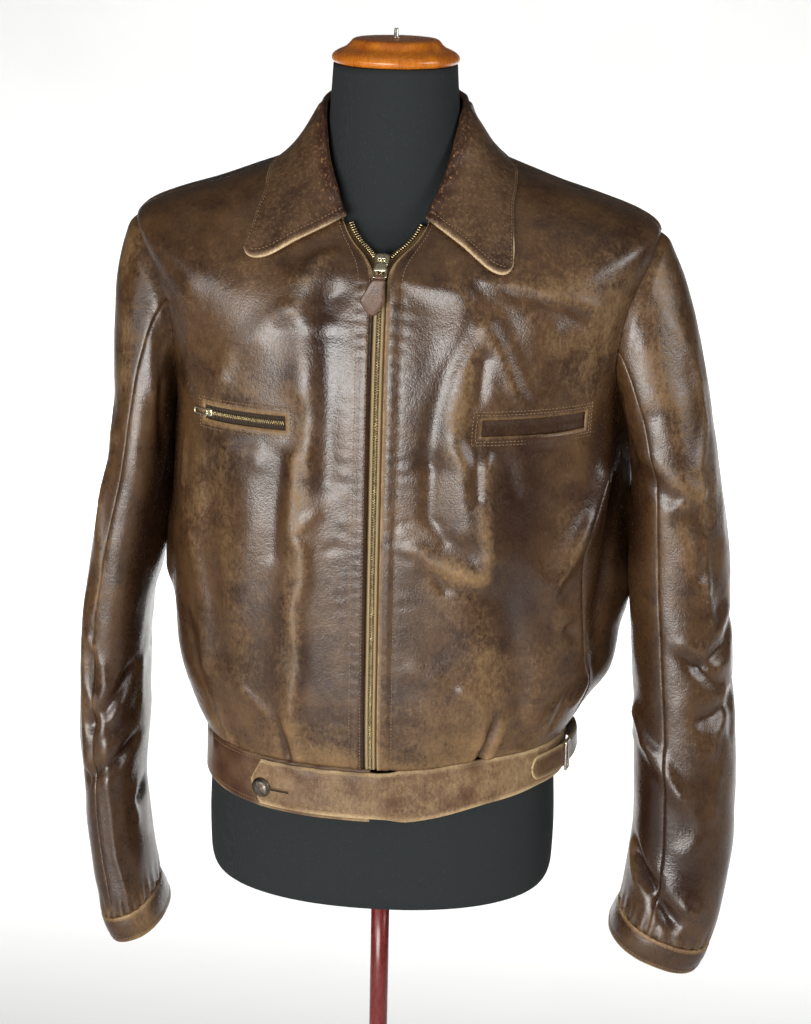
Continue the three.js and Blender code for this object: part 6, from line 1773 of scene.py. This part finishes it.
# Dress form: rings from the bottom up with half width, depths to front and back, heights at side, front and back,
# middle, squareness
form = {
    "rings": np.array([
        [150, 94, 92, 705, 705, 705, 0, 2.2], [161, 104, 102, 710, 710, 710, 0, 2.2],
        [165.5, 108, 106, 725, 725, 725, 0, 2.2],
        [166.5, 109, 107, 760, 760, 760, 0, 2.2], [164, 108, 104, 820, 820, 820, 0, 2.2],
        [152, 102, 94, 900, 900, 900, 0, 2.2],
        [156, 106, 98, 990, 985, 990, 2, 2.2], [170, 113, 110, 1090, 1075, 1090, 4, 2.3],
        [178, 114, 116, 1178, 1150, 1165, 8, 2.3],
        [186, 108, 112, 1258, 1214, 1246, 8, 2.3], [205, 99, 104, 1328, 1262, 1325, 8, 2.3],
        [186, 97, 98, 1352, 1280, 1348, 8.5, 2.25],
        [150, 90, 83, 1370.6, 1304, 1378, 9, 2.1], [106, 78, 66, 1382.4, 1326, 1396, 9, 2.05],
        [66, 62, 56, 1395, 1346, 1408, 6, 2.0],
        [59, 58, 56, 1412, 1380, 1422, 3, 2.0], [57, 57, 57, 1440, 1435, 1442, 1, 2.0],
        [54.5, 54.5, 54.5, 1477, 1477, 1477, 0, 2.0]]),
    "rows": 120, "columns": 144,
    "cap": [[0.01, 1477.3], [50, 1477.3], [53, 1477.7], [55, 1479], [56, 1481], [56.1, 1483], [55.2, 1485],
            [53, 1487], [50, 1488.7], [46.5, 1490.2],
            [43.5, 1491.8], [41.2, 1493.8], [39.6, 1495.8], [38.2, 1497.4], [36, 1498.5], [30, 1498.9], [15, 1499],
            [0.01, 1499]],
    "stud": [[0.01, 1499.3], [3.2, 1499.3], [3.4, 1499.6], [3.4, 1500.3], [3.1, 1500.7], [2.2, 1500.9], [2, 1501.3],
             [2, 1506.6], [1.8, 1507.2], [1.2, 1507.7], [0.01, 1507.8]],
    "pole": [[0.01, 44.3], [8.7, 44.3], [9, 44.7], [9, 300], [9, 560], [9, 704.4], [0.01, 704.6]],
    "foot": [[0.01, 0], [182, 0], [186, 0.8], [189, 3], [190, 6], [190, 14], [189, 17.5], [186, 20.2], [182, 21.4],
             [130, 24.6], [80, 27.2], [68, 28.6],
             [58, 31.5], [46, 36], [34, 40.6], [26, 43.2], [22, 44], [0.01, 44]],
}


# Rings blended smoothly from the bottom up and drawn in to a point at both ends, then the turned parts
def makeForm():
    rings = form["rings"]
    at = np.linspace(0, len(rings) - 1, form["rows"])[:, None]
    sizes = [track(np.stack([np.arange(len(rings)), column], 1))(at) for column in rings.T]
    degrees = np.linspace(-180, 180, form["columns"], endpoint=False)[None]
    points = ringPoint([*sizes[:6], 0.0, *sizes[6:]], degrees)
    bottom = mixed(np.array([0, 0, 705.0]), points[0], np.linspace(0.002, 0.97, 6)[:, None, None])
    top = mixed(points[-1], np.array([0, 0, 1477.0]), np.linspace(0.05, 0.998, 4)[:, None, None])
    points = np.concatenate([bottom, points, top])
    mesh = newMesh("form_body_jersey", points.reshape(-1, 3), roundFaces(*points.shape[:2]))
    place("form_body_jersey", mesh, jersey, nodes=["form_body"], slot="jersey")
    for part, node, columns, material, slot in (
            ("cap", "form_cap", 96, capWood, "cap_wood"), ("stud", "form_stud", 24, agedSteel, "steel"),
            ("pole", "pole", 40, standWood, "stand_wood"), ("foot", "foot", 120, standWood, "stand_wood")):
        mesh = turnedMesh(node + "_turned", form[part], columns)
        place(node + "_turned", mesh, material, nodes=[node], slot=slot)


makeForm()
print("form made")

# Sewing: every run joined into one mesh
stitchForm, stitchFaces = stitchShape(2.5, 0.75)
centres, along, out = [np.concatenate(parts) for parts in zip(*stitchRuns)]
place("sewing", repeatedMesh("sewing", stitchForm, stitchFaces, centres, along, out), sewingThread)
print("sewing made:", len(centres), "stitches")

# Stage: a pale floor that runs far back and curves up into a low wall,
# so that it never stands between the jacket and a view from behind
stage = {"front": -3200, "bend": 5600, "radius": 900, "top": 1700, "half": 4600}


def makeStage():
    turn = np.linspace(0, np.pi / 2, 24)
    bend, radius = stage["bend"], stage["radius"]
    y = np.concatenate([[stage["front"]], bend + radius * np.sin(turn), [bend + radius]])
    z = np.concatenate([[0], radius * (1 - np.cos(turn)), [stage["top"]]])
    points = stacked(np.array([-stage["half"], stage["half"]]), y[:, None], z[:, None])
    index = np.arange(len(y) * 2).reshape(-1, 2)
    faces = np.stack([index[:-1, 0], index[:-1, 1], index[1:, 1], index[1:, 0]], -1)
    mesh = newMesh("stage_floor", points.reshape(-1, 3), faces)
    material, make, shader, position = newMaterial("palePaper", Roughness=0.8)
    tone = rangeNode(make, noise(make, position, 1.6, 3.0), 0.3, 0.7)
    paper = colourMix(make, tone, (0.86, 0.86, 0.85, 1), (0.9, 0.9, 0.895, 1))
    depth = make("ShaderNodeSeparateXYZ", {0: position}).outputs["Y"]
    # the floor is painted greyer in front, as shade, so that it shows less in reflections in the leather
    behind = rangeNode(make, depth, 0.2, 1.4)  # greyer in front
    wire(material, shader, Base_Color=colourMix(make, behind, (0.72, 0.72, 0.715, 1), paper))
    floor = bpy.data.objects.new("stage_floor", mesh)
    bpy.context.scene.collection.objects.link(floor)
    mesh.materials.append(material)


# Lights: wide soft boxes, each with its place, aim, size, power, colour and spread in degrees
lights = {
    "front": [(-900, -3450, 1150), (0, 0, 1120), (2.2, 1.3), 142, (1, 0.985, 0.96), 180],
    "left": [(-2330, -2330, 1600), (0, 0, 1150), (1.3, 1.0), 14, (1, 1, 1), 180],
    "fill": [(2850, -1210, 2200), (0, 0, 1180), (1.6, 1.2), 48, (1, 1, 1), 180],
    "above": [(0, -900, 3400), (0, 0, 1150), (2.6, 2.6), 7, (1, 1, 1), 180],
    "backdrop": [(0, 3800, 3300), (0, 3800, 0), (6.4, 4.4), 232, (1, 1, 1), 76],
}


# Matrix of three axes and a place
def seatMatrix(axes, eye):
    matrix = Matrix.Identity(4)
    for k, axis in enumerate(axes):
        matrix.col[k] = (*axis, 0)
    matrix.col[3] = (*(np.asarray(eye) * mm), 1)
    return matrix


# Axes of a lamp: the third runs from the target to its place, the first is level
def lookAt(eye, target):
    back = unit(np.asarray(eye, float) - np.asarray(target, float))
    right = unit(np.cross((0, 0, 1.0), back) + (1e-6, 0, 0))
    return seatMatrix((right, np.cross(back, right), back), eye)


def makeLights():
    for name, (eye, target, size, power, tint, spread) in lights.items():
        light = bpy.data.lights.new(name, "AREA")
        light.shape = "RECTANGLE"
        (light.size, light.size_y), light.energy, light.color = size, power, tint
        light.spread = np.radians(spread)
        lamp = bpy.data.objects.new(name, light)
        lamp.matrix_world = lookAt(eye, target)
        bpy.context.scene.collection.objects.link(lamp)
    world = bpy.data.worlds.new("studio")
    world.use_nodes = True
    background = world.node_tree.nodes["Background"].inputs
    background["Color"].default_value, background["Strength"].default_value = (1, 1, 1, 1), 0.07
    bpy.context.scene.world = world
    bpy.context.scene.view_settings.view_transform = "Standard"


# Camera: stands off to the viewer's right, looks down and is turned a little
camera = {"distance": 1950, "side": 5.0, "pitch": 17.5, "roll": 1.2, "height": 1681, "across": 16.7, "focal": 2197}


def makeCamera():
    side, pitch, roll = np.radians([camera["side"], camera["pitch"], camera["roll"]])
    right = np.array([np.cos(side), np.sin(side), 0])
    level = np.array([-np.sin(side), np.cos(side), 0])
    ahead = level * np.cos(pitch) - np.array([0, 0, np.sin(pitch)])
    up = np.cross(right, ahead)
    eye = -level * camera["distance"] + right * camera["across"] + np.array([0, 0, camera["height"]])
    c, s = np.cos(roll), np.sin(roll)
    lens = bpy.data.cameras.new("photo_view")
    lens.sensor_fit = "VERTICAL"
    lens.sensor_height = 36
    lens.lens = camera["focal"] / 1024 * 36
    lens.clip_end = 30
    view = bpy.data.objects.new("photo_view", lens)
    view.matrix_world = seatMatrix((right * c + up * s, up * c - right * s, -ahead), eye)
    bpy.context.scene.collection.objects.link(view)
    bpy.context.scene.camera = view


makeStage()
makeLights()
makeCamera()
print("stage made")
